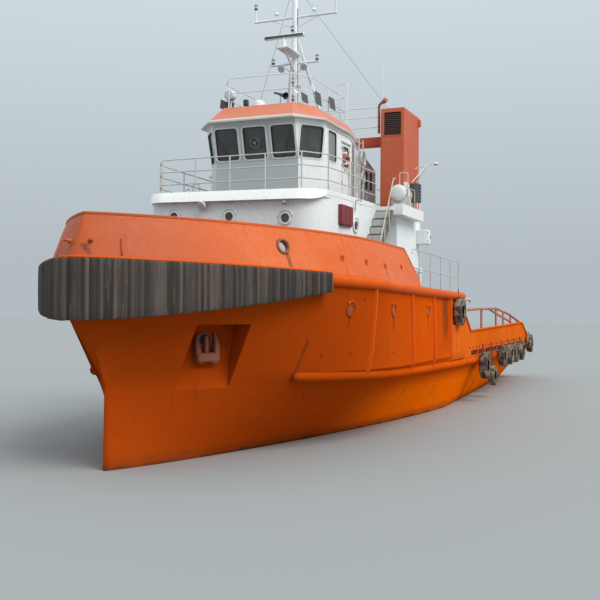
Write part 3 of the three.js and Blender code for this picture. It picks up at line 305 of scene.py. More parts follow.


# dark runs down the hull side, most below fittings; the wide one at x 3.55 darkens a broad band below the deck
# edge
hullSpills = ((12.37, 3.6, 0.5, 0.06), (9.88, 3.56, 0.6, 0.07), (6.0, 3.55, 0.5, 0.06), (3.55, 4.2, 2.1, 0.62),
    (2.2, 3.9, 1.3, 0.25), (0.05, 2.05, 0.7, 0.1), (-1.8, 2.0, 0.9, 0.12), (9.9, 1.3, 0.5, 0.05),
    (6.34, 1.2, 0.5, 0.05), (3.1, 1.05, 0.5, 0.05), (13.6, 3.0, 1.6, 0.05))
bulwarkSpills = ((14.62, 5.22, 0.75, 0.1), (10.18, 4.98, 0.55, 0.05), (18.6, 5.2, 0.35, 0.04))
# hull paint, with painted shade towards the bow (shade) and painted light low down aft (lift)
orange = paintedSteel("hullOrange", (0.62, 0.079, 0.0035), (0.66, 0.096, 0.005), 0.5, 0.45, 0.42, plates=1.0,
    waterStain=True, deck=(0.16, 0.06, 0.035), below=(0.13, 0.025, 0.015), shine=0.0, dirt=redGrime,
    shade=(6.5, 13.0, (0.27, 0.038, 0.004)), spills=hullSpills, lift=(6.0, 11.0, 1.0, (0.97, 0.165, 0.002)))
# bulwark paint: faded, with painted sky reflection in its paler pinker colour and painted shade towards the
# stem
fadedSkyLitOrange = paintedSteel("bulwarkOrange", (0.66, 0.125, 0.026), (0.7, 0.165, 0.055), 0.42, 0.35, 0.3,
    plates=0.6, shine=0.2, shade=(15.2, 18.2, (0.34, 0.062, 0.022)), spills=bulwarkSpills)
pipeOrange = paintedSteel("guardOrange", (0.66, 0.092, 0.004), (0.7, 0.12, 0.01), 0.42, 0.5, 0.35, shine=0.05,
    dirt=redGrime)
red = paintedSteel("funnelRed", (0.55, 0.105, 0.045), (0.6, 0.15, 0.08), 0.45, 0.3, 0.35, shine=0.25)
white = paintedSteel("houseWhite", (0.81, 0.84, 0.85), (0.85, 0.87, 0.87), 0.42, 0.28, 0.22, plates=0.35,
    shine=0.15, deck=(0.17, 0.07, 0.045))
# house white with painted shade on the faces to the bow (ahead)
wheelhouseWhite = paintedSteel("wheelhouseWhite", (0.81, 0.84, 0.85), (0.85, 0.87, 0.87), 0.45, 0.28, 0.22,
    plates=0.35, shine=0.12, ahead=(0.53, 0.6, 0.59))
trimWhite = paintedSteel("trimWhite", (0.8, 0.82, 0.82), (0.72, 0.73, 0.72), 0.4, 0.35, 0.3)
railGrey = paintedSteel("railGrey", (0.5, 0.51, 0.5), (0.62, 0.62, 0.6), 0.45, 0.6, 0.5)
stepGrey = paintedSteel("stepGrey", (0.25, 0.255, 0.245), (0.33, 0.33, 0.315), 0.5, 0.5, 0.4)
riserGrey = paintedSteel("riserGrey", (0.5, 0.51, 0.49), (0.56, 0.57, 0.55), 0.5, 0.4, 0.3)
crashPink = paintedSteel("crashRailPaint", (0.42, 0.15, 0.09), (0.5, 0.21, 0.14), 0.5, 0.8, 0.5)
ribbed = fenderRubber()
tyre = tyreRubber()
steel = bareSteel("bareSteel", (0.2, 0.2, 0.205), 0.42, 0.7, 0.6)
bronze = bareSteel("propellerBronze", (0.42, 0.3, 0.12), 0.3, 0.9, 0.2)
glass = windowGlass("windowGlass", (0.24, 0.25, 0.25), (0.33, 0.34, 0.34), 0.02, 0.76)
# pale and nearly opaque: painted reflection on the side, aft and door windows
sideGlass = windowGlass("sideGlass", (0.31, 0.33, 0.33), (0.38, 0.4, 0.4), 0.32, 0.2)
black = plastic("blackPlastic", (0.022, 0.023, 0.025), 0.4)
darkGrey = plastic("darkGreyPaint", (0.055, 0.058, 0.06), 0.5)
redBox = plastic("redBox", (0.2, 0.018, 0.028), 0.35)
brightWhite = paintedSteel("visorWhite", (0.82, 0.82, 0.81), (0.86, 0.86, 0.85), 0.36, 0.2, 0.2)
roofOrange = paintedSteel("roofOrange", (0.59, 0.157, 0.075), (0.63, 0.215, 0.125), 0.42, 0.35, 0.25)
roofRim = paintedSteel("roofRim", (0.62, 0.63, 0.62), (0.56, 0.5, 0.46), 0.45, 0.3, 0.25)
# near black: the colour of dark panels and boxes, and painted shade on the wheelhouse's inside walls
panelGreyAndCabinShade = plastic("darkPanelAndCabinShade", (0.085, 0.088, 0.088), 0.6)
lens = plastic("lampLens", (0.52, 0.54, 0.52), 0.1)
louvreBrown = plastic("louvreBrown", (0.115, 0.065, 0.07), 0.6)
louvreDark = plastic("louvreDark", (0.045, 0.022, 0.02), 0.7)
soot = bareSteel("sootySteel", (0.06, 0.05, 0.045), 0.7, 0.4, 0.5)
# near black: the outer stringer's paint, and painted shadow lines on the stair treads
stringerGreyAndTreadShadow = paintedSteel("stringerGreyAndTreadShadow", (0.1, 0.1, 0.095), (0.14, 0.14, 0.13), 0.5, 0.6, 0.4)
consoleGrey = plastic("consoleGrey", (0.16, 0.17, 0.18), 0.5)
screen = plastic("darkScreen", (0.01, 0.02, 0.03), 0.08)
raftWhite = plastic("raftWhite", (0.74, 0.74, 0.71), 0.35)
buoyOrange = plastic("buoyOrange", (0.4, 0.075, 0.045), 0.5)
anchorRed = paintedSteel("anchorRed", (0.26, 0.075, 0.035), (0.33, 0.12, 0.07), 0.6, 1.0, 0.5)
rustyMark = bareSteel("rustyMark", (0.12, 0.045, 0.02), 0.7, 0.1, 0.8)
coilGrey = plastic("coilGrey", (0.5, 0.49, 0.45), 0.7)
ropeBrown = plastic("ropeBrown", (0.1, 0.07, 0.05), 0.9, 0.003, 0.6)
aftOrange = paintedSteel("aftBulwarkOrange", (0.69, 0.112, 0.007), (0.74, 0.138, 0.014), 0.5, 0.5, 0.4,
    plates=0.8, shine=0.0, dirt=redGrime)
creamRail = paintedSteel("creamRail", (0.52, 0.46, 0.3), (0.6, 0.56, 0.42), 0.45, 0.5, 0.4)
print("materials made")


# Shapes: a part is (points, faces); a piece is parts with a material each
# one face between each four neighbours; the columns meet round the shape
def gridFaces(rows, columns, closeRows):
    r = arange(rows if closeRows else rows - 1)[:, None]
    c = arange(columns)[None, :]
    r1, c1 = (r + 1) % rows, (c + 1) % columns
    corners = [r * columns + c, r * columns + c1, r1 * columns + c1, r1 * columns + c]
    return stack(corners, -1).reshape(-1, 4).tolist()


def lofted(rings, closed=False):  # rings of equal count joined in turn, ends closed by one face each
    rings = asarray(rings, float)
    rows, columns = rings.shape[:2]
    faces = gridFaces(rows, columns, closed)
    if not closed:
        faces += [list(range(columns))[::-1], list(range((rows - 1) * columns, rows * columns))]
    return rings.reshape(-1, 3), faces


def merged(parts):
    points, faces, start = [], [], 0
    for p, f in parts:
        points.append(p)
        faces += [[i + start for i in face] for face in f]
        start += len(p)
    return concatenate(points), faces


def placed(part, matrix):
    m = array(matrix)
    return part[0] @ m[:3, :3].T + m[:3, 3], part[1]


def mirrored(part):
    return part[0] * [1, -1, 1], [face[::-1] for face in part[1]]


def painted(finish, *parts):
    return [(part, finish) for part in parts]


def bothSides(parts):
    return [*parts, *[(mirrored(part), finish) for part, finish in parts]]


def doubled(port):  # the port half of a plan, front to aft, with its mirror image: one closed outline
    port = asarray(port, float)
    return concatenate([port, (port * [1, -1])[::-1]])


def onWall(origin, out, up=(0, 0, 1)):  # local x along the wall, y up it, z out of it
    z = array(out, float) / np.linalg.norm(out)
    x = np.cross(up, z)
    x /= np.linalg.norm(x)
    m = np.eye(4)
    m[:3, 0], m[:3, 1], m[:3, 2], m[:3, 3] = x, np.cross(z, x), z, origin
    return m


def inset(outline, distance):  # a closed outline moved in by distance, corners kept
    o = asarray(outline, float)
    edge = np.roll(o, -1, 0) - o
    n = stack([-edge[:, 1], edge[:, 0]], 1) / (np.linalg.norm(edge, axis=1, keepdims=True) + 1e-12)
    before = np.roll(n, 1, 0)
    return o + distance * (n + before) / (1 + (n * before).sum(1, keepdims=True)).clip(0.3)


def between(low, high, count):
    return np.linspace(low, high, count)


def level(plan, height):  # a plan (x, y) laid at one height
    return column_stack([plan, np.full(len(plan), height)])


def circle(angles, radius):  # points (x, y) at these angles
    return column_stack([radius * np.cos(angles), radius * np.sin(angles)])


def unit(rows):  # each row scaled to length 1
    return rows / np.linalg.norm(rows, axis=-1, keepdims=True)


def runLength(path):  # distance along a path at each of its points
    return concatenate([[0], np.cumsum(np.linalg.norm(np.diff(path, axis=0), axis=1))])


def leftOf(path):  # unit normals of a path in plan, to the left of its run
    step = unit(np.gradient(path, axis=0))
    return stack([-step[:, 1], step[:, 0]], 1)


def slab(outline, low, high, bevel=0.0):  # an outline drawn up from low to high, edges cut by bevel
    o = asarray(outline, float)
    layers = [(o, low + bevel), (o, high - bevel)]
    if bevel:
        layers = [(inset(o, bevel), low), *layers, (inset(o, bevel), high)]
    return lofted([level(ring, z) for ring, z in layers])


sideOn = Matrix(((1, 0, 0, 0), (0, 0, -1, 0), (0, 1, 0, 0), (0, 0, 0, 1)))
crossOn = Matrix(((0, 0, 1, 0), (1, 0, 0, 0), (0, 1, 0, 0), (0, 0, 0, 1)))  # a section (y, z) drawn along x


def sideSlab(profile, y0, y1, bevel=0.0):  # a side profile (x, z), anticlockwise, between two breadths
    return placed(slab(profile, -y1, -y0, bevel), sideOn)


def roundedBox(width, height, radius, steps=5):  # outline of a rectangle about 0 with round corners
    a = between(0, math.pi / 2, steps)
    x, y = width / 2 - radius, height / 2 - radius
    corners = [(x, y), (-x, y), (-x, -y), (x, -y)]
    return concatenate([circle(a + k * math.pi / 2, radius) + corner for k, corner in enumerate(corners)])


def block(low, high, bevel):  # a box between two corners
    (x0, y0, z0), (x1, y1, z1) = low, high
    x0, x1, y0, y1, z0, z1 = min(x0, x1), max(x0, x1), min(y0, y1), max(y0, y1), min(z0, z1), max(z0, z1)
    b = min(bevel, 0.3 * (x1 - x0), 0.3 * (y1 - y0), 0.3 * (z1 - z0))
    outline = roundedBox(x1 - x0, y1 - y0, b, 3) + [(x0 + x1) / 2, (y0 + y1) / 2]
    return slab(outline, z0, z1, b)


def hollow(outer, inner, low, high):  # a wall between two outlines of equal count
    layers = [(outer, low), (outer, high), (inner, high), (inner, low)]
    return lofted([level(o, z) for o, z in layers], closed=True)


# a profile of (radius, distance along the axis), carried round the axis
def turned(profile, origin=(0, 0, 0), axis=(0, 0, 1), sides=32, closed=False):
    profile = array([p for p in profile if p[0] > 0], float)
    a = arange(sides) * 2 * math.pi / sides
    radius, along = profile[:, :1], profile[:, 1:]
    rings = stack([radius * np.cos(a), radius * np.sin(a), np.repeat(along, sides, 1)], -1)
    up = (0, 0, 1) if abs(axis[2]) < 0.9 * np.linalg.norm(axis) else (1, 0, 0)
    return placed(lofted(rings, closed), onWall(origin, axis, up))


def around(u, v, sides):  # unit circles in the planes of u and v
    a = arange(sides) * 2 * math.pi / sides
    return np.cos(a)[None, :, None] * u[:, None] + np.sin(a)[None, :, None] * v[:, None]


def rods(starts, ends, radius, sides):  # straight round bars, all at once
    starts, ends = np.atleast_2d(asarray(starts, float)), np.atleast_2d(asarray(ends, float))
    along = unit(ends - starts)
    u = unit(np.cross(np.where(np.abs(along[:, 2:]) > 0.9, [[1.0, 0, 0]], [[0, 0, 1.0]]), along))
    turn = radius * around(u, np.cross(along, u), sides)
    points = stack([starts[:, None] + turn, ends[:, None] + turn], 1).reshape(-1, 3)
    one = gridFaces(2, sides, False) + [list(range(sides))[::-1], list(range(sides, 2 * sides))]
    return points, [[i + 2 * sides * k for i in face] for k in range(len(starts)) for face in one]


def bent(path, radius, steps=6):  # a path of straight runs with its corners rounded
    path = asarray(path, float)
    out = [path[:1]]
    for before, corner, after in zip(path[:-2], path[1:-1], path[2:]):
        back, on = before - corner, after - corner
        reach = min(radius, 0.45 * np.linalg.norm(back), 0.45 * np.linalg.norm(on))
        a, b = corner + unit(back) * reach, corner + unit(on) * reach
        t = between(0, 1, steps)[:, None]
        out.append((1 - t) ** 2 * a + 2 * t * (1 - t) * corner + t ** 2 * b)
    return concatenate([*out, path[-1:]])


def pipe(path, radius, sides):  # a round section carried along a path, turned as little as possible
    path = asarray(path, float)
    tangent = unit(np.gradient(path, axis=0))
    cross = np.cross([0, 0, 1.0], tangent[0]) if abs(tangent[0, 2]) < 0.9 else array([1.0, 0, 0])
    across = []
    for t in tangent:
        cross = cross - t * (cross @ t)
        cross /= np.linalg.norm(cross)
        across.append(cross)
    u = array(across)
    return lofted(path[:, None] + radius * around(u, np.cross(tangent, u), sides))


def makePiece(name, parts, slot=None, replaces=(), body="hull", sharp=34, attribute=None):
    finishes = []
    for _, finish in parts:
        if finish not in finishes:
            finishes.append(finish)
    points, faces = merged([part for part, _ in parts])
    mesh = bpy.data.meshes.new(name)
    mesh.from_pydata(points.tolist(), [], faces)
    counts = [len(part[1]) for part, _ in parts]
    which = np.repeat([finishes.index(finish) for _, finish in parts], counts)
    mesh.polygons.foreach_set("material_index", which.astype(np.int32))
    for finish in finishes:
        mesh.materials.append(finish)
    if attribute:
        layer = mesh.attributes.new(attribute[0], "FLOAT", "POINT")
        layer.data.foreach_set("value", asarray(attribute[1], np.float32))
    tidyNormals(mesh, sharp)
    piece = newObject(name, mesh)
    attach(piece, body)
    if replaces:
        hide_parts(*replaces)
    return piece


def tidyNormals(mesh, sharp):
    work = bmesh.new()
    work.from_mesh(mesh)
    bmesh.ops.recalc_face_normals(work, faces=work.faces)
    work.to_mesh(mesh)
    work.free()
    mesh.shade_smooth()
    mesh.set_sharp_from_angle(angle=math.radians(sharp))


def makePair(name, parts, slot, node=None, moving=False, cuts=None):  # one piece for each side of the ship
    for side in ("port", "starboard"):
        turn = mirrored if side == "starboard" else lambda part: part
        body = f"{node}_{side}" if moving else "hull"
        piece = makePiece(f"{name}.{side}", [(turn(p), f) for p, f in parts], slot, [f"{node}_{side}"] if node
            else (), body)
        if cuts:
            cutBy(piece, [(turn(p), f) for p, f in cuts], 34)


def cutBy(piece, parts, sharp):  # takes the parts out of a piece; the faces left carry their finishes
    cutter = makePiece(piece.name + ".cut", parts)
    for _, finish in parts:
        if finish.name not in piece.data.materials:
            piece.data.materials.append(finish)
    cut = piece.modifiers.new("cut", "BOOLEAN")
    cut.operation = "DIFFERENCE"
    cut.solver = "EXACT"
    cut.material_mode = "TRANSFER"
    cut.object = cutter
    mesh = bpy.data.meshes.new_from_object(piece.evaluated_get(bpy.context.evaluated_depsgraph_get()))
    piece.modifiers.clear()
    piece.data = mesh
    bpy.data.objects.remove(cutter)
    tidyNormals(mesh, sharp)


# Hull lines, the same formulas as the frame's
deckLine = {"full": 4.667, "run": 9.3, "power": 2.05, "blunt": 1.2}
guardLine = {"full": 4.72, "run": 9.0, "power": 2.2, "blunt": 0.8}
waterLine = {"full": 3.85, "run": 17.167, "power": 1.414, "blunt": 1.231}
lines = {"stemX": 17.5, "rake": 0.46, "rakeZ": 2.0, "tipX": 18.845, "transomX": -19.1, "sternRound": 1.1,
    "guardZ": 2.1, "aftDeckZ": 1.9, "keelZ": -3.4, "keelHalf": 0.07, "sheerLow": 4.429, "sheerRise": 0.436,
    "sheerRun": 22.0}


def lineHalf(line, s):  # full * (1 - (1 - s / run) ^ power) ^ (1 / blunt), s aft of the stem
    t = np.clip(1 - s / line["run"], 0, 1)
    return np.where(s <= 0, 0, line["full"] * (1 - t ** line["power"]) ** (1 / line["blunt"]))


def sheer(x):  # 0 far aft to 1 at the tip of the bow
    return np.clip(1 - (lines["tipX"] - x) / lines["sheerRun"], 0, 1)


def deckZ(x):  # deck edge, rising with the square of the sheer
    return lines["sheerLow"] + lines["sheerRise"] * sheer(x) ** 2


def knuckleZ(x):  # fold in the side, below the deck edge
    return deckZ(x) - 0.32 - 0.2 * np.clip((x - 8.2) / 5.0, 0, 1)


def keelZ(x):  # keel, rising by a power at the bow and by a smooth step under the stern
    foot = np.clip((x - 14) / 3.4, 0, 1) ** 2.5 * 1.9
    run = np.clip((-6 - x) / 12.6, 0, 1)
    return lines["keelZ"] + foot + 2.85 * run * run * (3 - 2 * run)


def sternTaper(x):  # breadth lost aft: a square of the distance, and a quarter round at the transom
    aft = np.maximum(0, -4.5 - x)
    corner = np.maximum(0, lines["transomX"] + lines["sternRound"] - x)
    return 0.0014 * aft ** 2 + lines["sternRound"] - np.sqrt(np.maximum(0,
        lines["sternRound"] ** 2 - corner ** 2))


# half breadth, mixed between the three level curves, and rounded off to the keel below water
def hullHalf(x, z):
    x, z = np.broadcast_arrays(asarray(x, float), asarray(z, float))
    stem = lines["stemX"] + lines["rake"] * np.maximum(0, z - lines["rakeZ"])
    guard = lineHalf(guardLine, stem - x)
    water = lineHalf(waterLine, stem - x) - 0.05 * np.maximum(0, -x)
    deck = lineHalf(deckLine, lines["tipX"] - x - (deckZ(x) - z) * lines["rake"])
    t = np.clip((z - lines["guardZ"]) / (knuckleZ(x) - lines["guardZ"]), 0, 1)
    u = np.clip(z / lines["guardZ"], 0, 1)
    side = np.where(z > lines["guardZ"], guard * (1 - t) + deck * t,
        water * (1 - u) + guard * u) - sternTaper(x)
    depth = np.clip(z / keelZ(x), 0, 1)
    below = np.maximum(lines["keelHalf"], side * np.sqrt(1 - depth ** 2.2))
    return np.where(z >= 0, side, below)


def hullShell(stations, levels, topZ):  # frames keel to deck on each side, joined along the ship
    x = asarray(stations, float)[:, None]
    wet = keelZ(x) * (1 - between(0, 1, 15)[:-1] ** 0.7)[None]
    heights = concatenate([wet, levels(x), topZ(x)], 1)
    stem = np.where(x > lines["stemX"], lines["rakeZ"] + (x - lines["stemX"]) / lines["rake"], -9)
    order = arange(heights.shape[1])
    heights = np.maximum(heights, stem - 0.002 * (len(order) - order))
    half = np.maximum(hullHalf(x, heights), 0.004 + 0.001 * order)
    port = stack([np.broadcast_to(x, half.shape), half, heights], -1)
    return lofted(concatenate([port, (port * [1, -1, 1])[:, ::-1]], 1))


# height and back wall of each ring
pocket = {"foot": (15.55, 1.46), "along": (-0.786, 0.618), "out": (0.618, 0.786), "width": 1.42, "shift": 0.267,
    "levels": ((1.8, 0.0), (2.4, -0.2), (3.39, -0.2))}
rollerBay = {"x": -18.4, "half": 1.71, "low": 1.25}
breakDoor = {"y": -1.6, "width": 0.76, "low": 2.2, "high": 3.95, "gap": 0.012, "recess": 0.07}
hatch = {"x": -12.5, "y": 2.5, "half": 0.4, "wall": 0.06}
shaft = {"y": 2.0, "z": -2.15, "propX": -15.6, "nozzleR": 1.02, "nozzleOut": 1.19}
rudder = {"x": -17.15, "chord": 1.26, "ahead": 0.36}
houseFootZ = 4.66
aftFootZ, bridgeFootZ = 1.9006, 7.1206  # just clear of the working deck and the bridge deck


def onPocket(along, out, z):  # a point given along the side, outboard and up, from the pocket's foot
    k = pocket
    return array([k["foot"][0] + along * k["along"][0] + out * k["out"][0],
        k["foot"][1] + along * k["along"][1] + out * k["out"][1], z])


def pocketBlock():
    low, high = pocket["levels"][0][0], pocket["levels"][-1][0]
    rings = []
    for z, back in pocket["levels"]:
        mid, half = pocket["shift"] * (z - low) / (high - low), pocket["width"] / 2
        rings.append([onPocket(u, n, z) for u, n in ((mid - half, back), (mid + half, back), (mid + half, 1.3),
            (mid - half, 1.3))])
    return lofted(rings)


def makeHull():
    fore = concatenate([between(0.5, 12, 58), between(12.15, 17.3, 70)[:-1], between(17.3, 17.56, 14),
        between(17.6, 18.825, 44)])
    def foreLevels(x):
        low = np.repeat(between(0, 2.1, 12)[None], len(x), 0)
        rise = between(0, 1, 13)[None, 1:]
        knuckle = knuckleZ(x)
        return concatenate([low, 2.1 + (knuckle - 2.1) * rise, knuckle + (deckZ(x) - knuckle) * 0.5], 1)

    aft = concatenate([between(-19.1, -18.0, 16), between(-17.8, 0.52, 70)])
    foreShell = hullShell(fore, foreLevels, deckZ)
    aftShell = hullShell(aft, lambda x: np.repeat(between(0, 1.75, 10)[None], len(x), 0),
        lambda x: np.full_like(x, lines["aftDeckZ"]))
    d, h = breakDoor, hatch
    door = block((0.4, d["y"] - d["width"] / 2 - d["gap"], d["low"] - d["gap"]),
        (0.5 + d["recess"], d["y"] + d["width"] / 2 + d["gap"], d["high"] + d["gap"]), 0.0001)
    forePiece = makePiece("hullForebody", [(foreShell, orange)], "hull_paint", ["hull"], sharp=22)
    cutBy(forePiece, [(door, orange), *bothSides([(pocketBlock(), orange)])], 24)
    aftPiece = makePiece("hullAfterbody", [(aftShell, orange)], "hull_paint", sharp=22)
    bay = block((-20, -rollerBay["half"], rollerBay["low"]), (rollerBay["x"], rollerBay["half"], 2.5), 0.0001)
    inner = h["half"] - h["wall"]
    well = block((h["x"] - inner, h["y"] - inner, 1.6), (h["x"] + inner, h["y"] + inner, 2.5), 0.0001)
    cutBy(aftPiece, painted(orange, bay, well), 24)


def makeHullFittings():
    s, h = shaft, hatch
    skegSide = [(-11.0, -1.0), (-16.6, -1.0), (-15.2, -3.6), (-4.0, -3.6), (-4.0, -3.0)]
    skeg = painted(orange, sideSlab(skegSide, -0.15, 0.15, 0.04),
        block((-4.5, -0.1, -3.6), (13.5, 0.1, -3.3), 0.03))
    makePiece("skeg", skeg, "hull_paint", ["skeg"])
    tube = turned([(0.15, 0), (0.19, 0.05), (0.19, 8.1), (0.16, 8.206)], (-7.0, s["y"], s["z"]), (-1, 0, 0), 28)
    trunk = turned([(0.13, 0), (0.13, 0.93)], (rudder["x"], s["y"], -0.1), (0, 0, -1), 28)
    coaming = hollow(roundedBox(2 * h["half"], 2 * h["half"], 0.05) + [h["x"], h["y"]],
        roundedBox(2 * h["half"] - 2 * h["wall"], 2 * h["half"] - 2 * h["wall"], 0.03) + [h["x"], h["y"]],
        1.88, 2.35)
    makePair("sternTube", [(tube, orange)], "hull_paint", "stern_tube")
    casingFoot = doubled([(6.4, casing["half"]), (casing["aft"], casing["half"])])
    parts = [*bothSides([(trunk, orange)]), (coaming, pipeOrange),
        (slab(houseOutline(0), 4.2, houseFootZ), orange), (slab(casingFoot, 4.2, houseFootZ), orange)]
    makePiece("hullFittings", parts, "hull_paint")


house = {"front": 11.25, "aft": 6.33, "round": 0.85, "halfFront": 2.95, "halfAft": 3.15, "taperX": 7.6,
    "wall": 0.1, "deck": 7.0, "deckTop": 7.12, "lead": 0.2}
casing = {"front": 6.3, "aft": 3.3, "half": 3.7}


# plan of the deckhouse, anticlockwise from its starboard aft corner
def houseOutline(grow, lead=0.0, steps=14):
    h = house
    a = between(0, math.pi / 2, steps)
    port = stack([h["front"] + lead - h["round"] + (h["round"] + grow) * np.cos(a),
        h["halfFront"] - h["round"] + (h["round"] + grow) * np.sin(a)], 1)
    port = concatenate([port, [(h["taperX"], h["halfAft"] + grow), (h["aft"] - grow, h["halfAft"] + grow)]])
    return concatenate([(port * [1, -1])[::-1], port])


# Bow: bulwark, fender and the pipes round it
bulwark = {"height": 1.234, "lean": 0.412, "thick": 0.06, "endX": 6.75, "slope": 0.63, "soften": 0.5,
    "bowDrop": 0.162}
fender = {"endX": 13.55, "proud": 0.25, "lowBow": 3.49, "lowEnd": 4.2, "sweep": 1.25, "pitch": 0.072,
    "perRib": 5, "depth": 0.014}
fairlead = {"x": 14.7, "z": 5.31, "r": 0.14}


def rim(aftX, count):  # forecastle edge, port aft round the stem to starboard aft, with its running length
    s = (lines["tipX"] - aftX) * between(1, -1, count) ** 2
    y = np.sign(between(1, -1, count)) * lineHalf(deckLine, s)
    path = stack([lines["tipX"] - s, y], 1)
    return path, runLength(path)


def evenRim(aftX, count):  # the same at even steps, with the way out at each point
    path, length = rim(aftX, 4001)
    fine = between(0, length[-1], 4001)
    path = stack([np.interp(fine, length, path[:, k]) for k in (0, 1)], 1)
    reach = int(bulwark["soften"] / fine[1])  # the stem is rounded by a running mean
    padded = np.pad(path, ((reach, reach), (0, 0)), mode="reflect", reflect_type="odd")
    weight = np.hanning(2 * reach + 3)[1:-1]
    path = stack([np.convolve(padded[:, k], weight / weight.sum(), "valid") for k in (0, 1)], 1)
    length = runLength(path)
    at = between(0, length[-1], count)
    even = stack([np.interp(at, length, path[:, k]) for k in (0, 1)], 1)
    return even, leftOf(even), at


def alongRim(path, outward, rows):  # rows of (out, z), each along a path in plan, joined round the section
    sections = stack([stack(row, -1) for row in rows], 1)
    plan = path[:, None] + outward[:, None] * sections[..., :1]
    return lofted(concatenate([plan, sections[..., 1:]], -1))


def bulwarkTop(x):  # height of the rail, lean inboard, and 0 to 1 up the sloping end
    slope = np.clip((x - bulwark["endX"]) / bulwark["slope"], 0, 1)
    full = bulwark["height"] - bulwark["bowDrop"] * sheer(x) ** 2
    return deckZ(x) + 0.2 * (1 - slope) + full * slope, 0.06 * (1 - slope) + bulwark["lean"] * slope, slope


def makeBulwark():
    path, out, _ = evenRim(bulwark["endX"], 420)
    top, lean, slope = bulwarkTop(path[:, 0])
    foot = deckZ(path[:, 0]) + 0.005
    t = bulwark["thick"]
    cap = 0.012 * np.minimum(1, slope * 4)
    rows = [*[(-0.02 - (lean - 0.02) * part, foot + (top - foot) * part) for part in (0, 0.25, 0.5, 0.75)],
        (-lean, top - 0.06), (-lean + cap, top - 0.055), (-lean + cap, top - 0.008), (-lean + cap - 0.01, top),
        (-lean - t - cap + 0.01, top), (-lean - t - cap, top - 0.008), (-lean - t - cap, top - 0.055),
        (-lean - t, top - 0.06), (-0.02 - t + 0 * lean, foot)]
    piece = makePiece("bowBulwark", [(alongRim(path, out, rows), fadedSkyLitOrange)], "hull_paint", ["bow_bulwark"])
    hole = rods((14.5, 2.4, fairlead["z"]), (14.9, 4.4, fairlead["z"]), fairlead["r"], 28)
    cutBy(piece, bothSides([(hole, fadedSkyLitOrange)]), 34)


def makeFender():
    path, out, at = evenRim(fender["endX"], 2)
    count = int(round(at[-1] / fender["pitch"])) * fender["perRib"] + 1
    path, out, at = evenRim(fender["endX"], count)
    random = np.random.default_rng(7)
    rib = np.clip((at / fender["pitch"]).astype(int), 0, count // fender["perRib"])
    proud = random.uniform(-0.006, 0.003, rib.max() + 1)[rib]
    drop = random.uniform(-0.012, 0.006, rib.max() + 1)[rib]
    tone = random.beta(1.4, 2.2, rib.max() + 1)[rib]
    swell = np.abs(np.sin(np.pi * at / fender["pitch"])) ** 0.45
    face = fender["proud"] - fender["depth"] + fender["depth"] * swell + proud
    t = (lines["tipX"] - path[:, 0]) / (lines["tipX"] - fender["endX"])
    top = deckZ(path[:, 0]) + 0.01
    low = fender["lowBow"] + (fender["lowEnd"] - fender["lowBow"]) * t.clip(0, 1) ** fender["sweep"] + drop
    zero = 0 * top
    rows = [(zero, top - 0.004), (zero - 0.25, top - 0.06), (zero - 0.7, low + 0.08), (face - 0.1, low),
        (face - 0.02, low + 0.01), (face - 0.004, low + 0.05), (face, low + 0.25 * (top - low)),
        (face + 0.004, low + 0.5 * (top - low)), (face, low + 0.8 * (top - low)), (face - 0.004, top - 0.05),
        (face - 0.015, top - 0.012), (face - 0.05, top)]
    makePiece("bowFender", [(alongRim(path, out, rows), ribbed)], "fender_rubber", ["bow_fender"], sharp=60,
        attribute=("rib", np.repeat(tone, len(rows))))
    path, out, _ = evenRim(fender["endX"] - 0.02, 220)
    top = deckZ(path[:, 0])
    strap = column_stack([path + out * (fender["proud"] - 0.07), top + 0.022])
    shelf = column_stack([path + out * 0.05, top + 0.03])
    makePiece("fenderRetainers", painted(pipeOrange, pipe(strap, 0.014, 8), pipe(shelf, 0.035, 8)),
        "hull_paint")


guard = {"r": 0.15, "strips": (11.2, 8.0, 5.3, 2.9)}


def upperGuardZ(x):  # height of its middle, as below
    return deckZ(x) - guard["r"]


def lowerGuardZ(x):
    return 1.75 + 0.463 * sheer(x) ** 2


def halfPipe(x, z, radius):  # a half round section on the hull side, along stations x at heights z
    path = stack([x, hullHalf(x, z)], 1)
    out = leftOf(path)
    a = between(-math.pi / 2, math.pi / 2, 11)
    across = concatenate([[-0.06], radius * np.cos(a), [-0.06]])
    up = concatenate([[-radius], radius * np.sin(a), [radius]])
    taper = np.minimum(1, np.minimum(arange(len(x)), arange(len(x))[::-1]) / 2 * 0.3 + 0.7)[:, None]
    plan = path[:, None] + out[:, None] * (across * taper)[..., None]
    return lofted(concatenate([plan, (z[:, None] + up * taper)[..., None]], -1))


def makeGuards():
    upperX = between(0.6, fender["endX"] - 0.02, 110)
    lowerX = between(-18.0, 13.6, 260)
    parts = [(halfPipe(upperX, upperGuardZ(upperX), guard["r"]), pipeOrange),
        (halfPipe(lowerX, lowerGuardZ(lowerX), guard["r"]), orange)]
    for x in guard["strips"]:
        z = between(lowerGuardZ(x), upperGuardZ(x), 20)
        y = hullHalf(x, z)
        section = array([(-0.07, -0.05), (0.07, -0.05), (0.05, 0.065), (0.035, 0.075), (-0.035, 0.075),
            (-0.05, 0.065)])
        rings = stack([stack([x + section[:, 0], yy + section[:, 1], np.full(6, zz)], 1) for yy,
            zz in zip(y, z)])
        parts += [(lofted(rings), pipeOrange)]
    makePair("sideGuards", parts, "hull_paint", "side_guards")


makeHull()
makeHullFittings()
makeBulwark()
makeFender()
makeGuards()
print("hull made")

# Fittings used in many places
# posts, and bars at parts of the height
def railParts(points, height, bars, finish, postR=0.024, barR=0.018, closed=False):
    p = asarray(points, float)
    up = array([0, 0, height])
    line = concatenate([p, p[:1]]) if closed else p
    return [(rods(p, p + up, postR, 8), finish), *[(pipe(bent(line + up * part, 0.1, 4), barR, 8), finish)
        for part in bars]]


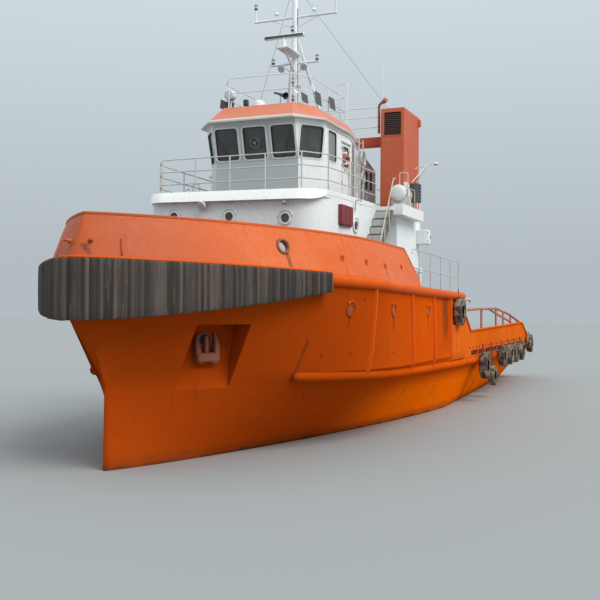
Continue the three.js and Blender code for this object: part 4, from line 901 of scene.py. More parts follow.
def porthole(at, out, r):  # ring, glass and a small gutter over it
    wall = onWall(at, out)
    ring = turned([(r * 0.92, -0.01), (r * 0.92, 0.045), (r * 1.3, 0.045), (r * 1.36, 0.03), (r * 1.36, -0.01)],
        at, out, 36, True)
    pane = turned([(r * 0.94, -0.03), (r * 0.94, 0.01)], at, out, 36)
    a = between(0.25, math.pi - 0.25, 18)
    brow = level(circle(a, 1.62 * r), 0.025)
    return [(ring, trimWhite), (pane, glass), (placed(pipe(brow, 0.024, 6), wall), trimWhite)]


def floodLamp(at, aim, size):  # a dished body with its lens, aimed along aim
    body = [(0.45 * size, -1.1 * size), (0.8 * size, -0.6 * size), (size, 0), (1.1 * size, 0.1 * size),
        (1.1 * size, 0.3 * size)]
    return [(turned(body, at, aim, 20), trimWhite), (turned([(0.95 * size, 0.28 * size),
        (0.9 * size, 0.42 * size)], at, aim, 20), lens)]


def windowParts(at, out, width, height, radius=0.09, paneFinish=glass):  # rim, rubber and pane in a wall
    wall = onWall(at, out)
    ring = lambda grow, r: roundedBox(width + grow, height + grow, r, 6)
    border = placed(hollow(ring(0.09, radius + 0.04), ring(-0.004, radius), -0.02, 0.016), wall)
    rubber = placed(hollow(ring(0.0, radius), ring(-0.05, radius - 0.02), -0.055, 0.004), wall)
    pane = placed(slab(ring(-0.03, radius - 0.01), -0.045, -0.033), wall)
    return [(border, trimWhite), (rubber, black), (pane, paneFinish)]


def windowCut(at, out, width, height, radius=0.09):  # the hole for such a window
    return placed(slab(roundedBox(width, height, radius, 6), -0.14, 0.2), onWall(at, out))


def ladder(x, y, low, high, out, finish, width):  # two rails and round rungs, standing off a wall
    across = np.cross([0, 0, 1.0], out) * width / 2
    foot = array([x, y, 0.0])
    z = arange(low + 0.25, high - 0.1, 0.3)
    rungs = column_stack([np.full_like(z, x), np.full_like(z, y), z])
    sides = [foot + across + [0, 0, low], foot - across + [0, 0, low]]
    tops = [foot + across + [0, 0, high], foot - across + [0, 0, high]]
    return painted(finish, rods(sides, tops, 0.025, 8), rods(rungs + across, rungs - across, 0.013, 6))


def cabinet(low, high, finish, slats=0):  # a box whose outboard face has a door, hinges and a catch, or slats
    low, high = np.minimum(low, high), np.maximum(low, high)
    parts = [(block(low, high, 0.015), finish)]
    mid, size = (low + high) / 2, high - low
    wide = size[0]
    wall = onWall(mid + array([0, 1, 0]) * size / 2, (0, 1, 0))
    if slats:
        for z in between(-0.42, 0.42, slats) * size[2]:
            parts += [(placed(block((-0.44 * wide, z - 0.012, 0),
                (0.44 * wide, z + 0.018, 0.022), 0.004), wall), darkGrey)]
        return parts
    parts += [(placed(slab(roundedBox(wide * 0.9, size[2] * 0.9, 0.02), 0.0, 0.014, 0.004), wall), finish)]
    for end in (-0.3, 0.3):
        parts += [(placed(block((-0.46 * wide, end * size[2] - 0.03, 0),
            (-0.4 * wide, end * size[2] + 0.03, 0.026), 0.004), wall), steel)]
    parts += [(placed(block((0.34 * wide, -0.05, 0), (0.37 * wide, 0.05, 0.04), 0.006), wall), steel)]
    return parts


def lifebuoy(at, out, r=0.29):
    ring = [(r - 0.075 + 0.055 * math.cos(a), 0.055 + 0.05 * math.sin(a))
        for a in arange(14) * 2 * math.pi / 14]
    wall = onWall(at, out)
    band = block((-0.04, -0.062, 0.0), (0.04, 0.062, 0.113), 0.012)
    place = lambda a: wall @ array(Matrix.Rotation(a, 4, "Z") @ Matrix.Translation((0, r - 0.075, 0)))
    bands = [placed(band, place(a)) for a in arange(4) * math.pi / 2 + math.pi / 4]
    return [(turned(ring, at, out, 48, True), buoyOrange), *[(band, brightWhite) for band in bands],
        (placed(block((-0.1, -0.36, 0), (0.1, -0.26, 0.05), 0.01), wall), trimWhite)]


# Deckhouse, engine casing and the bridge deck over them
houseFronts = {"at": ((-1.83, 6.55), (0.03, 6.49), (1.83, 6.39)), "r": 0.145, "sideX": (8.7,), "sideZ": 6.34}


def houseSideY(x):  # half breadth, straight between the two breadths
    h = house
    return h["halfFront"] + (h["halfAft"] - h["halfFront"]) * np.clip((h["front"] - h["round"]
        - x) / (h["front"] - h["round"] - h["taperX"]), 0, 1)


def makeHouse():
    h, f, c = house, houseFronts, casing
    walls = hollow(houseOutline(0), houseOutline(-h["wall"]), houseFootZ + 0.001, h["deck"])
    piece = makePiece("deckhouse", [(walls, white)], "white_paint", ["deckhouse"], sharp=24)
    front = [((h["front"], y, z), (1, 0, 0)) for y, z in f["at"]]
    side = [((x, houseSideY(x), f["sideZ"]), (0.063, 1, 0)) for x in f["sideX"]]
    tube = lambda at, out: rods(array(at) - 0.2 * array(out), array(at) + 0.2 * array(out), f["r"], 28)
    cuts = [(tube(at, out), trimWhite) for at, out in front] + bothSides([(tube(at, out), trimWhite) for at,
        out in side])
    cutBy(piece, cuts, 24)
    parts = []
    for at, out in front:
        parts += porthole(at, out, f["r"])
        parts += floodLamp(array(at) + [0.1, 0, 0.44], (0.5, 0, -1), 0.07)
        parts += [(rods(array(at) + [-0.02, 0, 0.46], array(at) + [0.1, 0, 0.48], 0.014, 6), trimWhite)]
    parts += floodLamp((11.42, -0.8, 6.84), (1, -0.2, -0.45), 0.13)
    parts += [(rods([(11.24, -0.8, 6.8), (11.24, -0.8, 6.92)], [(11.4, -0.8, 6.84), (11.4, -0.8, 6.86)],
        0.016, 6), trimWhite)]
    ports = []
    for at, out in side:
        ports += porthole(at, out, f["r"] + 0.015)
    seams = [(block((x - 0.006, houseSideY(x) - 0.02, h["deck"] - 2.2),
        (x + 0.006, houseSideY(x) + 0.004, h["deck"]), 0.001), white) for x in (10.2, 8.15, 7.2)]
    seams += [(block((11.24, 0.944, 4.8), (11.254, 0.956, 6.95), 0.001), white)]
    makePiece("deckhouseFittings", parts + bothSides(ports + seams), "white_paint")
    outer = doubled([(c["front"], c["half"]), (c["aft"], c["half"])])
    inner = doubled([(c["front"] - 0.1, c["half"] - 0.1), (c["aft"] + 0.1, c["half"] - 0.1)])
    piece = makePiece("engineCasing", [(hollow(outer, inner, houseFootZ + 0.001, h["deck"]), white)],
        "white_paint", replaces=["engine_casing"], sharp=24)
    opening = block((c["aft"] - 0.2, 0.508, 4.848), (c["aft"] + 0.3, 1.292, 6.652), 0.03)
    cutBy(piece, [(opening, trimWhite)], 24)


bridge = {"lipLow": 6.95, "lipFall": -0.014, "lipTurn": (10.75, 11.32), "lipSlope": 0.15, "aft": 3.1,
    "half": 3.76, "joinX": 6.9}
tray = {"x0": 4.2, "x1": 6.85, "in": 3.74, "out": 4.05, "low": 6.85, "high": 7.2, "wall": 0.05}


def makeBridgeDeck():
    h, b, t = house, bridge, tray
    edge = houseOutline(0, h["lead"], 26)
    side = edge[edge[:, 0] > b["joinX"]]
    path = concatenate([[(b["joinX"], side[0, 1])], side, [(b["joinX"], side[-1, 1])]])
    fine = between(0, 1, 400)
    length = runLength(path)
    path = column_stack([np.interp(fine * length[-1], length, path[:, k]) for k in (0, 1)])
    out = -leftOf(path)
    turn = 1 - np.clip((path[:, 0] - b["lipTurn"][0]) / (b["lipTurn"][1] - b["lipTurn"][0]), 0, 1)
    low = b["lipLow"] + (h["deckTop"] - b["lipLow"]) * turn ** 1.5
    zero = path[:, 1] * bridge["lipFall"]
    low = low + zero
    tilt = b["lipSlope"] * (1 - turn)  # the visor leans back
    rows = [(0 * low, low), (-tilt, zero + 7.25), (-tilt - 0.012, zero + 7.262), (-tilt - 0.048, zero + 7.262),
        (-tilt - 0.06, zero + 7.25), (-0.06 - tilt * 0.1, low)]
    aftPlan = doubled([(b["joinX"], b["half"]), (b["aft"], b["half"])])
    parts = [(alongRim(path, out, rows), brightWhite), (slab(path - out * (0.01 + tilt[:, None]),
        h["deck"] + 0.001, h["deckTop"]), white), (slab(aftPlan, h["deck"] + 0.001,
        h["deckTop"] - 0.001, 0.004), white)]
    inner = [(t["x0"] + t["wall"], t["in"] + 0.06), (t["x1"] - t["wall"], t["in"] + 0.06),
        (t["x1"] - t["wall"], t["out"] - t["wall"]), (t["x0"] + t["wall"], t["out"] - t["wall"])]
    outer = [(t["x0"], t["in"]), (t["x1"], t["in"]), (t["x1"], t["out"]), (t["x0"], t["out"])]
    trayParts = [(hollow(array(outer), array(inner), t["low"], t["high"] - 0.002), brightWhite),
        (slab(inset(inner, -0.01), t["low"] + 0.002, t["low"] + 0.08), white)]
    makePiece("bridgeDeck", parts + bothSides(trayParts), "white_paint", ["bridge_deck"], sharp=40)


makeHouse()
makeBridgeDeck()

# Wheelhouse, its glass, doors and roof
wheelhouse = {"front": 9.31, "corner": 1.42, "cheekX": 8.45, "half": 2.05, "aft": 3.6, "sill": 8.45,
    "lean": 0.3, "slopeX": 6.4, "drop": 0.275, "foot": bridgeFootZ, "top": 9.6394, "leanTop": 9.64, "wall": 0.1}
panes = {"low": 8.5, "high": 9.47, "frontY": (-0.97, 0, 0.97), "width": 0.78, "cheek": 0.84}
sideDoor = {"x0": 6.32, "x1": 7.1, "low": 7.3, "high": 9.25, "thick": 0.05, "y": 2.045, "gap": 0.012}


def wheelhouseRing(z, wall=0.0):  # plan at a height, moved in by wall
    w = wheelhouse
    out = w["lean"] * np.clip((z - w["sill"]) / (w["leanTop"] - w["sill"]), 0, 1)
    slant = wall * 0.35
    port = [(w["front"] + out - wall, w["corner"] - slant), (w["cheekX"] + out - slant, w["half"] - wall),
        (w["aft"] + wall, w["half"] - wall)]
    return level(doubled(port), z)


def wheelhouseWindows():  # place, outward direction, width and height of each window, port side and centre
    w, p = wheelhouse, panes
    mid, high = (p["low"] + p["high"]) / 2, p["high"] - p["low"]
    rise = w["leanTop"] - w["sill"]
    out = w["lean"] * (mid - w["sill"]) / rise
    ahead = array([1.0, 0, -w["lean"] / rise])
    cheek = np.cross([w["cheekX"] - w["front"], w["half"] - w["corner"], 0], [w["lean"], 0, rise])
    stretch = 1 / 0.97
    front = [((w["front"] + out, y, mid), ahead, p["width"], high * stretch) for y in p["frontY"]]
    cheekAt = ((w["front"] + w["cheekX"]) / 2 + out, (w["corner"] + w["half"]) / 2, mid)
    side = [(cheekAt, cheek, p["cheek"], high * 1.01), ((7.995, w["half"], mid), (0, 1, 0), 0.74, high - 0.02),
        ((w["aft"], 0.9, 8.3), (-1, 0, 0), 1.16, 0.66), ((4.05, w["half"], 8.355), (0, 1, 0), 0.33, 0.66),
        ((4.55, w["half"], 8.355), (0, 1, 0), 0.33, 0.66)]
    return front, side


def makeWheelhouse():
    w, d = wheelhouse, sideDoor
    shell = lofted([wheelhouseRing(w["foot"]), wheelhouseRing(w["sill"]), wheelhouseRing(w["top"])])
    core = lofted([wheelhouseRing(7.0, w["wall"]), wheelhouseRing(w["sill"], w["wall"]),
        wheelhouseRing(9.8, w["wall"])])
    front, side = wheelhouseWindows()
    above = lambda z, x1: sideSlab([(2, z - w["drop"] * (w["slopeX"] - 2)),
        (x1, z - w["drop"] * (w["slopeX"] - x1)), (x1, z + 2), (2, z + 2)], -3, 3)
    # the inside walls take this near-black finish: painted shade of the unlit wheelhouse
    piece = makePiece("wheelhouse", [(core, panelGreyAndCabinShade)], sharp=20)
    cutBy(piece, [(above(w["top"] - w["wall"], w["slopeX"]), panelGreyAndCabinShade)], 20)
    core = array([v.co for v in piece.data.vertices]), [list(face.vertices) for face in piece.data.polygons]
    bpy.data.objects.remove(piece)
    piece = makePiece("wheelhouse", [(shell, wheelhouseWhite)], "white_paint", ["wheelhouse"], sharp=20)
    cutBy(piece, [(above(w["top"], w["slopeX"]), wheelhouseWhite)], 20)
    cuts = [(windowCut(*one), trimWhite) for one in front] + bothSides([(windowCut(*one), trimWhite)
        for one in side])
    door = block((d["x0"] - d["gap"], 1.7, d["low"] - d["gap"]),
        (d["x1"] + d["gap"], 2.4, d["high"] + d["gap"]), 0.0001)
    # singly: the solver trips over close cutters
    for one in [(core, panelGreyAndCabinShade), *cuts, *bothSides([(door, trimWhite)])]:
        cutBy(piece, [one], 20)
    frames = []
    for one in front:
        frames += windowParts(*one)
    sides = []
    for number, one in enumerate(side):
        sides += windowParts(*one, paneFinish=sideGlass if number else glass)
    disc = onWall(front[1][0], front[1][1])
    ring = placed(turned([(0.155, -0.01), (0.155, 0.02), (0.17, 0.02), (0.17, -0.01)], sides=40,
        closed=True), disc)
    hub = placed(turned([(0.045, -0.02), (0.04, 0.035)], sides=20), disc)
    tips = level(circle(arange(3) * 2 * math.pi / 3 + 0.5, 0.16), 0.012)
    arms = placed(rods(tips * [0, 0, 1], tips, 0.009, 6), disc)
    frames += painted(stepGrey, ring, hub, arms)
    wiper = lambda one, lean: placed(rods([(-0.05, -0.5, 0.03), (0.0, -0.45, 0.035)],
        [(lean, 0.0, 0.03), (lean * 1.1, 0.28, 0.03)], 0.008, 6), onWall(one[0], one[1]))
    frames += painted(black, wiper(front[0], -0.25), wiper(front[2], 0.2))
    makePiece("windowPanes", frames + bothSides(sides), "window_glass", ["front_glazing", "aft_glazing"])
    foot = [(slab(inset(wheelhouseRing(7.2)[:, :2], -0.012), w["foot"], 7.2, 0.004), trimWhite)]
    gutter = painted(trimWhite, pipe([(3.62, 2.07, 8.8), (6.35, 2.07, 9.551), (8.5, 2.07, 9.56)], 0.022, 6),
        block((6.24, 2.045, 9.3), (7.18, 2.1, 9.32), 0.004))
    locker = [(placed(slab(roundedBox(0.62, 1.95, 0.08), 0, 0.012, 0.004),
        onWall((5.57, 2.05, 8.25), (0, 1, 0))), trimWhite)]
    locker += [(pipe(bent([(x, 2.1, 7.14), (x, 2.1, top)], 0.1), r, 8), finish) for x, top, r,
        finish in ((6.06, 9.4, 0.035, stepGrey), (5.95, 9.36, 0.02, trimWhite), (5.12, 9.2, 0.045, stepGrey),
        (4.98, 9.18, 0.03, trimWhite), (4.86, 9.16, 0.03, stepGrey), (3.75, 8.8, 0.035, trimWhite))]
    makePiece("wheelhouseFittings", foot + bothSides(gutter + locker), "white_paint")


def makeSideDoors():
    d = sideDoor
    mid = ((d["x0"] + d["x1"]) / 2, d["y"], (d["low"] + d["high"]) / 2)
    wall = onWall(mid, (0, 1, 0))
    wide, high = d["x1"] - d["x0"], d["high"] - d["low"]
    panel = placed(slab(roundedBox(wide, high, 0.05), -d["thick"], 0.0, 0.006), wall)
    hole = placed(slab(roundedBox(0.54, 0.66, 0.07, 6), -0.2, 0.2), onWall((mid[0], d["y"], 8.84), (0, 1, 0)))
    makePair("wheelhouseDoor", [(panel, white)], "white_paint", "wheelhouse_door", True, [(hole, trimWhite)])
    trim = windowParts((mid[0], d["y"], 8.84), (0, 1, 0), 0.54, 0.66, 0.07, sideGlass)
    trim += [(placed(hollow(roundedBox(wide - 0.1, high - 0.1, 0.05),
        roundedBox(wide - 0.13, high - 0.13, 0.04), 0.0, 0.004), wall), black)]
    trim += [(placed(pipe(bent([(0.24, -0.12, 0), (0.24, -0.12, 0.045), (0.24, 0.12, 0.045),
        (0.24, 0.12, 0)], 0.02), 0.01, 8), wall), steel)]
    for y in (-0.8, -0.3, 0.25, 0.8):
        trim += painted(steel, placed(block((0.33, y - 0.03, 0), (0.37, y + 0.03, 0.02), 0.004), wall),
            placed(block((-0.385, y - 0.05, 0), (-0.33, y + 0.05, 0.012), 0.003), wall))
    trim += lifebuoy((mid[0] + 0.04, d["y"], 8.76), (0, 1, 0))
    for side in ("port", "starboard"):
        keep = trim if side == "port" else [(mirrored(p), f) for p, f in trim]
        makePiece(f"doorTrim.{side}", keep, "white_paint", (), f"wheelhouse_door_{side}")


roof = {"low": 9.64, "high": 10.22, "edge": ((9.82, 1.44), (8.95, 2.18), (6.7, 2.18), (4.95, 1.9)),
    "top": ((9.24, 1.2), (8.46, 1.62), (6.7, 1.62), (5.12, 1.58)), "rim": (0.105, 0.058, 0.056, 0.056)}


def makeRoof():
    r = roof
    low, high = r["low"], r["high"]
    lowPlan, highPlan = doubled(r["edge"]), doubled(r["top"])
    height = array(r["rim"] + r["rim"][::-1])
    part = ((height - 0.055) / (high - low - 0.059))[:, None]
    turn = column_stack([lowPlan + (highPlan - lowPlan) * part, low + height])
    rim = lofted([level(lowPlan, low + 0.001), level(lowPlan, low + 0.054), turn])
    fascia = lofted([turn, level(highPlan, high - 0.004)])
    soffit = slab(inset(lowPlan, 0.03), low, low + 0.05)
    top = slab(inset(highPlan, 0.02), high - 0.05, high)
    parts = [(rim, roofRim), (fascia, roofOrange), (soffit, trimWhite), (top, white)]
    makePiece("wheelhouseRoof", parts, "hull_paint", ["wheelhouse_roof"], sharp=20)


makeWheelhouse()
makeSideDoors()
makeRoof()
print("deckhouse and wheelhouse made")

# Funnels, the beam between them and the gear on the bridge deck
funnel = {"front": 5.3, "aft": 3.4, "inner": 2.8, "outer": 3.67, "top": 10.69, "foot": bridgeFootZ,
    "louvre": (9.76, 10.55), "margin": 0.13, "depth": 0.13, "blades": 12}
beam = {"x": (4.25, 4.6), "z": (9.54, 9.86), "half": 2.7994, "bars": (0.36, 0.72, 1.06),
    "postY": (-2.7, -1.35, 0, 1.35, 2.7)}


def makeFunnels():
    f = funnel
    inner, outer, front, aft, margin = (f[k] for k in ("inner", "outer", "front", "aft", "margin"))
    top, foot, mid = f["top"], f["foot"], (inner + outer) / 2
    side = [(aft, foot), (front, foot), (front - 0.06, top), (aft - 0.06, top), (aft - 0.06, top - 0.26),
        (aft, top - 0.34)]
    low, high = f["louvre"]
    # the recess faces take near-black louvreDark: painted shade behind the blades
    hole = block((front - f["depth"], inner + margin, low), (front + 0.1, outer - margin, high), 0.0001)
    makePair("funnel", [(sideSlab(side, inner, outer, 0.035), red)], "red_paint", "funnel", False,
        [(hole, louvreDark)])
    parts = []
    for z in between(low + 0.03, high - 0.07, f["blades"]):
        blade = [(5.145, z + 0.045), (5.235, z - 0.015), (5.248, z), (5.158, z + 0.06)]
        parts += [(sideSlab(blade, inner + margin, outer - margin), louvreBrown)]
    wide = outer - inner
    wall = onWall((5.249, mid, (low + high) / 2), (1, 0, 0.017))
    parts += [(placed(hollow(roundedBox(wide - 0.2, high - low + 0.06, 0.02),
        roundedBox(wide - 0.27, high - low, 0.01), -0.01, 0.014), wall), red)]
    exhaust = (3.6, mid, 10.2), (-0.46, 0, 0.12), 32
    parts += [(turned([(0.165, 0), (0.19, 0.01), (0.19, 0.476), (0.17, 0.476), (0.165, 0.3)], *exhaust), soot),
        (turned([(0.168, 0.31), (0.16, 0.32)], *exhaust), black)]
    for z in (8.28, 9.5):
        x = front - 0.06 * (z - foot) / (top - foot)
        seam = block((x - 0.002, inner + 0.03, z - 0.006), (x + 0.004, outer - 0.03, z + 0.006), 0.001)
        parts += painted(red, seam, block((aft + 0.04, outer - 0.002, z - 0.006),
            (x - 0.04, outer + 0.004, z + 0.006), 0.001))
    parts += [(pipe(bent([(5.1, 2.7, 9.88), (5.1, 2.7, 10.86), (5.14, 2.88, 10.98)], 0.08), 0.045, 10),
        anchorRed)]
    parts += [(turned([(0.04, -0.12), (0.07, -0.05), (0.085, 0.06), (0.05, 0.08)], (5.17, 2.93, 10.98),
        (0.6, 0.6, 0.45), 20), anchorRed)]
    parts += [(block((3.37, outer - 0.01, 10.34), (3.56, outer + 0.075, 10.58), 0.01), red)]
    parts += [(rods((5.1, inner + 0.05, top - 0.03), (5.1, inner + 0.05, top + 1.65), 0.009, 6), trimWhite)]
    access = onWall((4.35, inner - 0.001, 8.0), (0, -1, 0))
    parts += [(placed(slab(roundedBox(0.62, 1.25, 0.06), 0, 0.02, 0.005), access), red)]
    parts += ladder(3.34, mid, 7.2, 10.1, (-1, 0, 0), red, 0.36)
    makePair("funnelFittings", parts, "red_paint")
    (x0, x1), (z0, z1), half, railX = beam["x"], beam["z"], beam["half"], beam["x"][1] - 0.05
    post = array([(railX, y, z1 - 0.02) for y in beam["postY"]])
    girder = block((x0, -half, z0), (x1, half, z1), 0.012)
    grating = block((x0 - 0.25, -half + 0.05, z1 - 0.04), (x0 + 0.02, half - 0.05, z1 - 0.01), 0.004)
    parts = [(girder, red), (rods(post, post + [0, 0, 1.08], 0.024, 8), trimWhite), (grating, red)]
    parts += [(rods((railX, -half, z1 + rise), (railX, half, z1 + rise), 0.019, 8), trimWhite)
        for rise in beam["bars"]]
    makePiece("funnelBeam", parts, "red_paint", ["funnel_beam"])


def makeRails():
    z = house["deckTop"] + 0.0006
    port = array([(11.18, 0), (11.18, 1.15), (11.18, 2.3), (10.4, 2.83), (8.7, 2.95), (6.48, 3.03)])
    run = concatenate([(port[1:] * [1, -1])[::-1], port])
    feet = lambda points: [(rods(points, points + [0, 0, 0.012], 0.06, 12), trimWhite)]
    bridgeRun = lambda plan, height, bars, finish: railParts(level(plan, z), height,
        bars, finish) + feet(level(plan, z))
    makePiece("bridgeRail", bridgeRun(run, 1.18, (0.36, 0.68, 1), railGrey), "white_paint", ["bridge_rail"])
    half = array([(3.21, 3.65), (3.21, 1.8), (3.21, 0)])
    run = concatenate([half, (half[:-1] * [1, -1])[::-1]])
    makePiece("aftBridgeRail", bridgeRun(run, 1.06, (0.5, 1), trimWhite), "white_paint", ["aft_bridge_rail"])
    run = level(doubled([(9.12, 1.08), (8.42, 1.5), (6.9, 1.5), (5.22, 1.5)]), roof["high"] + 0.0006)
    roofRun = railParts(run, 0.95, (0.5, 1), trimWhite, 0.02, 0.016, True) + feet(run)
    makePiece("roofRail", roofRun, "white_paint", ["roof_rail"])
    x = array([6.45, 4.98, 3.52, 2.06, 0.64])
    run = column_stack([x, hullHalf(x, deckZ(x)) - 0.16, deckZ(x) - 0.02])
    start = run[0] + [0, 0, 1.2]
    tail = painted(railGrey, pipe(bent([start, (7.1, start[1] - 0.02, start[2] + 0.02),
        (7.22, start[1] - 0.05, start[2] - 0.15)], 0.06), 0.018, 8),
        rods(start - [0, 0, 0.6], (6.98, start[1] - 0.02, start[2] - 0.58), 0.016, 8))
    makePair("sideRail", railParts(run, 1.2, (0.5, 1), railGrey) + tail, "grey_paint", "side_rail")
    hoop = [(6.15, 3.75, 7.14), (6.15, 3.75, 8.3), (6.15, 4.03, 8.3), (6.15, 4.03, 7.19)]
    makePair("trayRail", painted(creamRail, pipe(bent(hoop, 0.06), 0.019, 8),
        rods((6.15, 3.75, 7.75), (6.15, 4.03, 7.75), 0.015, 8),
        rods([(5.3, 4.03, 7.19), (6.15, 4.03, 7.8)], [(5.3, 4.03, 7.8), (5.3, 4.03, 7.8)], 0.016, 8)),
        "white_paint")


stair = {"footX": 8.95, "steps": 9, "going": 0.222, "head": 6.98, "in": 0.025, "out": 0.6, "thick": 0.03}


def makeStairs():
    s = stair
    footX, steps, going, head = (s[k] for k in ("footX", "steps", "going", "head"))
    footZ = float(deckZ(footX))
    rise = (head - footZ) / steps
    y0, y1 = house["halfAft"] + s["in"], house["halfAft"] + s["out"]
    parts = []
    for i in range(1, steps + 1):
        x, z = footX - going * i, footZ + rise * i
        if i < steps:
            # treads near black: painted shadow under each nosing
            parts += [(block((x - 0.12, y0 + 0.005, z - 0.035), (x + 0.12, y1 - 0.032, z), 0.006),
                stringerGreyAndTreadShadow)]
        parts += [(block((x + 0.098, y0 + 0.005, z - rise + 0.012), (x + 0.108, y1 - 0.032, z - 0.045), 0.002),
            riserGrey)]
    end = footX - going * (steps - 0.2)
    side = [(footX - 0.26, footZ), (footX, footZ), (end + 0.18, head), (end - 0.06, head),
        (end - 0.06, head - 0.04)]
    parts += [(sideSlab(side, y1 - s["thick"], y1, 0.004), stringerGreyAndTreadShadow)]
    parts += [(rods((footX - 0.145, y0 + 0.05, footZ + 0.026), (footX - 2.009, y0 + 0.05, head - 0.142),
        0.028, 8), stepGrey)]
    y = y1 + 0.05
    hand = array([(footX - 0.52, y, footZ + 1.22), (end + 0.02, y, 8.02)])
    at = between(0, 1, 4)[:, None] * (hand[1] - hand[0]) + hand[0]
    parts += painted(creamRail, rods((at - [0, 0, 0.97])[:-1], at[:-1], 0.016, 8),
        pipe(bent([hand[0] - [0, 0, 0.3], hand[0] + [0.06, 0, 0], hand[1], hand[1] - [0.22, 0, 0]], 0.08),
        0.019, 8))
    makePair("stair", parts, "grey_paint", "stair")


mast = {"x": 6.2, "top": 15.2, "r": 0.11, "foot": 10.2206, "yard": (13.9, 1.55), "lowerYard": (12.3, 0.9),
    "platform": (7.35, 0.22, 12.54, 12.6)}


def lantern(x, y, z):  # a ship's lamp: base, drum lens and cap
    return [(turned([(0.055, 0), (0.06, 0.03), (0.06, 0.05)], (x, y, z), sides=20), darkGrey),
        (turned([(0.05, 0.05), (0.052, 0.1), (0.05, 0.15)], (x, y, z), sides=20), lens),
        (turned([(0.062, 0.15), (0.06, 0.17), (0.02, 0.19)], (x, y, z), sides=20), darkGrey)]


def makeMast():
    m = mast
    x, foot = m["x"], m["foot"]
    post = [(0.2, 0), (0.2, 0.02), (m["r"], 0.03), (m["r"], 3.35), (0.095, 3.42), (0.095, 4.4), (0.06, 4.46),
        (0.06, m["top"] - foot)]
    parts = painted(trimWhite, turned(post, (x, 0, foot), sides=28),
        rods([(5.3, 0.75, foot), (5.3, -0.75, foot)], [(6.16, 0.03, 13.3), (6.16, -0.03, 13.3)], 0.05, 14),
        turned([(0.12, 0), (0.12, 0.02)], (5.3, 0.75, foot), sides=20),
        turned([(0.12, 0), (0.12, 0.02)], (5.3, -0.75, foot), sides=20),
        block((x - 0.06, -m["platform"][1], m["platform"][2]),
        (m["platform"][0], m["platform"][1], m["platform"][3]), 0.01),
        rods((x + 0.06, 0, 12.0), (7.15, 0, 12.56), 0.038, 12))
    for z, half in (m["yard"], m["lowerYard"]):
        parts += painted(trimWhite, pipe([(x, -half, z), (x, half, z)], 0.042, 12),
            rods([(x, half * 0.6, z), (x, -half * 0.6, z)], [(x, 0.08, z - 0.35), (x, -0.08, z - 0.35)],
            0.016, 8))
    for side in (-1, 1):
        parts += [(rods((x, side * 1.5, 13.9), (x, side * 1.5, 14.35), 0.028, 10), trimWhite)]
        parts += lantern(x, side * 1.5, 14.34)
        parts += [(rods((x, side * 1.1, 13.9), (x, side * 1.1, 15.15), 0.009, 6), trimWhite)]
        parts += [(turned([(0.02, 0), (0.02, 0.12), (0.085, 0.13), (0.085, 0.17), (0.05, 0.21)],
            (x, side * 0.7, 13.94), sides=24), brightWhite)]
        parts += lantern(x, side * 0.82, 12.34)
        parts += [(rods((x, side * 0.1, 14.9), (3.6, side * 2.9, 10.6), 0.006, 5), steel)]
    for z in (10.95, 11.55, 13.35):
        parts += [(block((x + 0.08, -0.03, z - 0.03), (x + 0.28, 0.03, z - 0.005), 0.004), trimWhite)]
        parts += lantern(x + 0.24, 0, z)
    parts += floodLamp((x + 0.22, 0.42, 12.1), (1, 0.2, -0.6), 0.12) + floodLamp((x + 0.22, -0.42, 12.1),
        (1, -0.2, -0.6), 0.12)
    parts += [(rods([(x, 0.42, 12.28), (x, -0.42, 12.28)], [(x + 0.16, 0.42, 12.16), (x + 0.16, -0.42, 12.16)],
        0.014, 6), trimWhite)]
    horn = turned([(0.03, 0), (0.035, 0.1), (0.06, 0.22), (0.13, 0.3), (0.11, 0.29), (0.03, 0.2)],
        (x + 0.12, 0.25, 11.3), (1, 0.05, 0), 24)
    parts += [(horn, brightWhite)]
    rungs = arange(10.6, 14.8, 0.3)
    parts += [(rods([(x - 0.09, 0.16, z) for z in rungs], [(x - 0.09, -0.16, z) for z in rungs], 0.011, 6),
        trimWhite)]
    cable = [(x + 0.02, 0.105, 10.3), (x + 0.02, 0.105, 12.0), (x + 0.03, 0.105, 13.2), (x + 0.02, 0.095, 14.2)]
    parts += [(pipe(cable, 0.014, 6), black)]
    makePiece("mast", parts, "white_paint", ["mast"])
    r = (7.15, 0, 12.601)
    scanner = [(turned([(0.088, 0.006), (0.088, 0.2), (0.07, 0.26), (0.07, 0.31)], r, sides=28), brightWhite),
        (block((7.085, -0.74, 12.901), (7.215, 0.74, 13.041), 0.035), brightWhite),
        (block((7.21, -0.7, 12.925), (7.219, 0.7, 13.017), 0.003), panelGreyAndCabinShade)]
    makePiece("radarScanner", scanner, "white_paint", ["radar_scanner"], "radar_scanner")


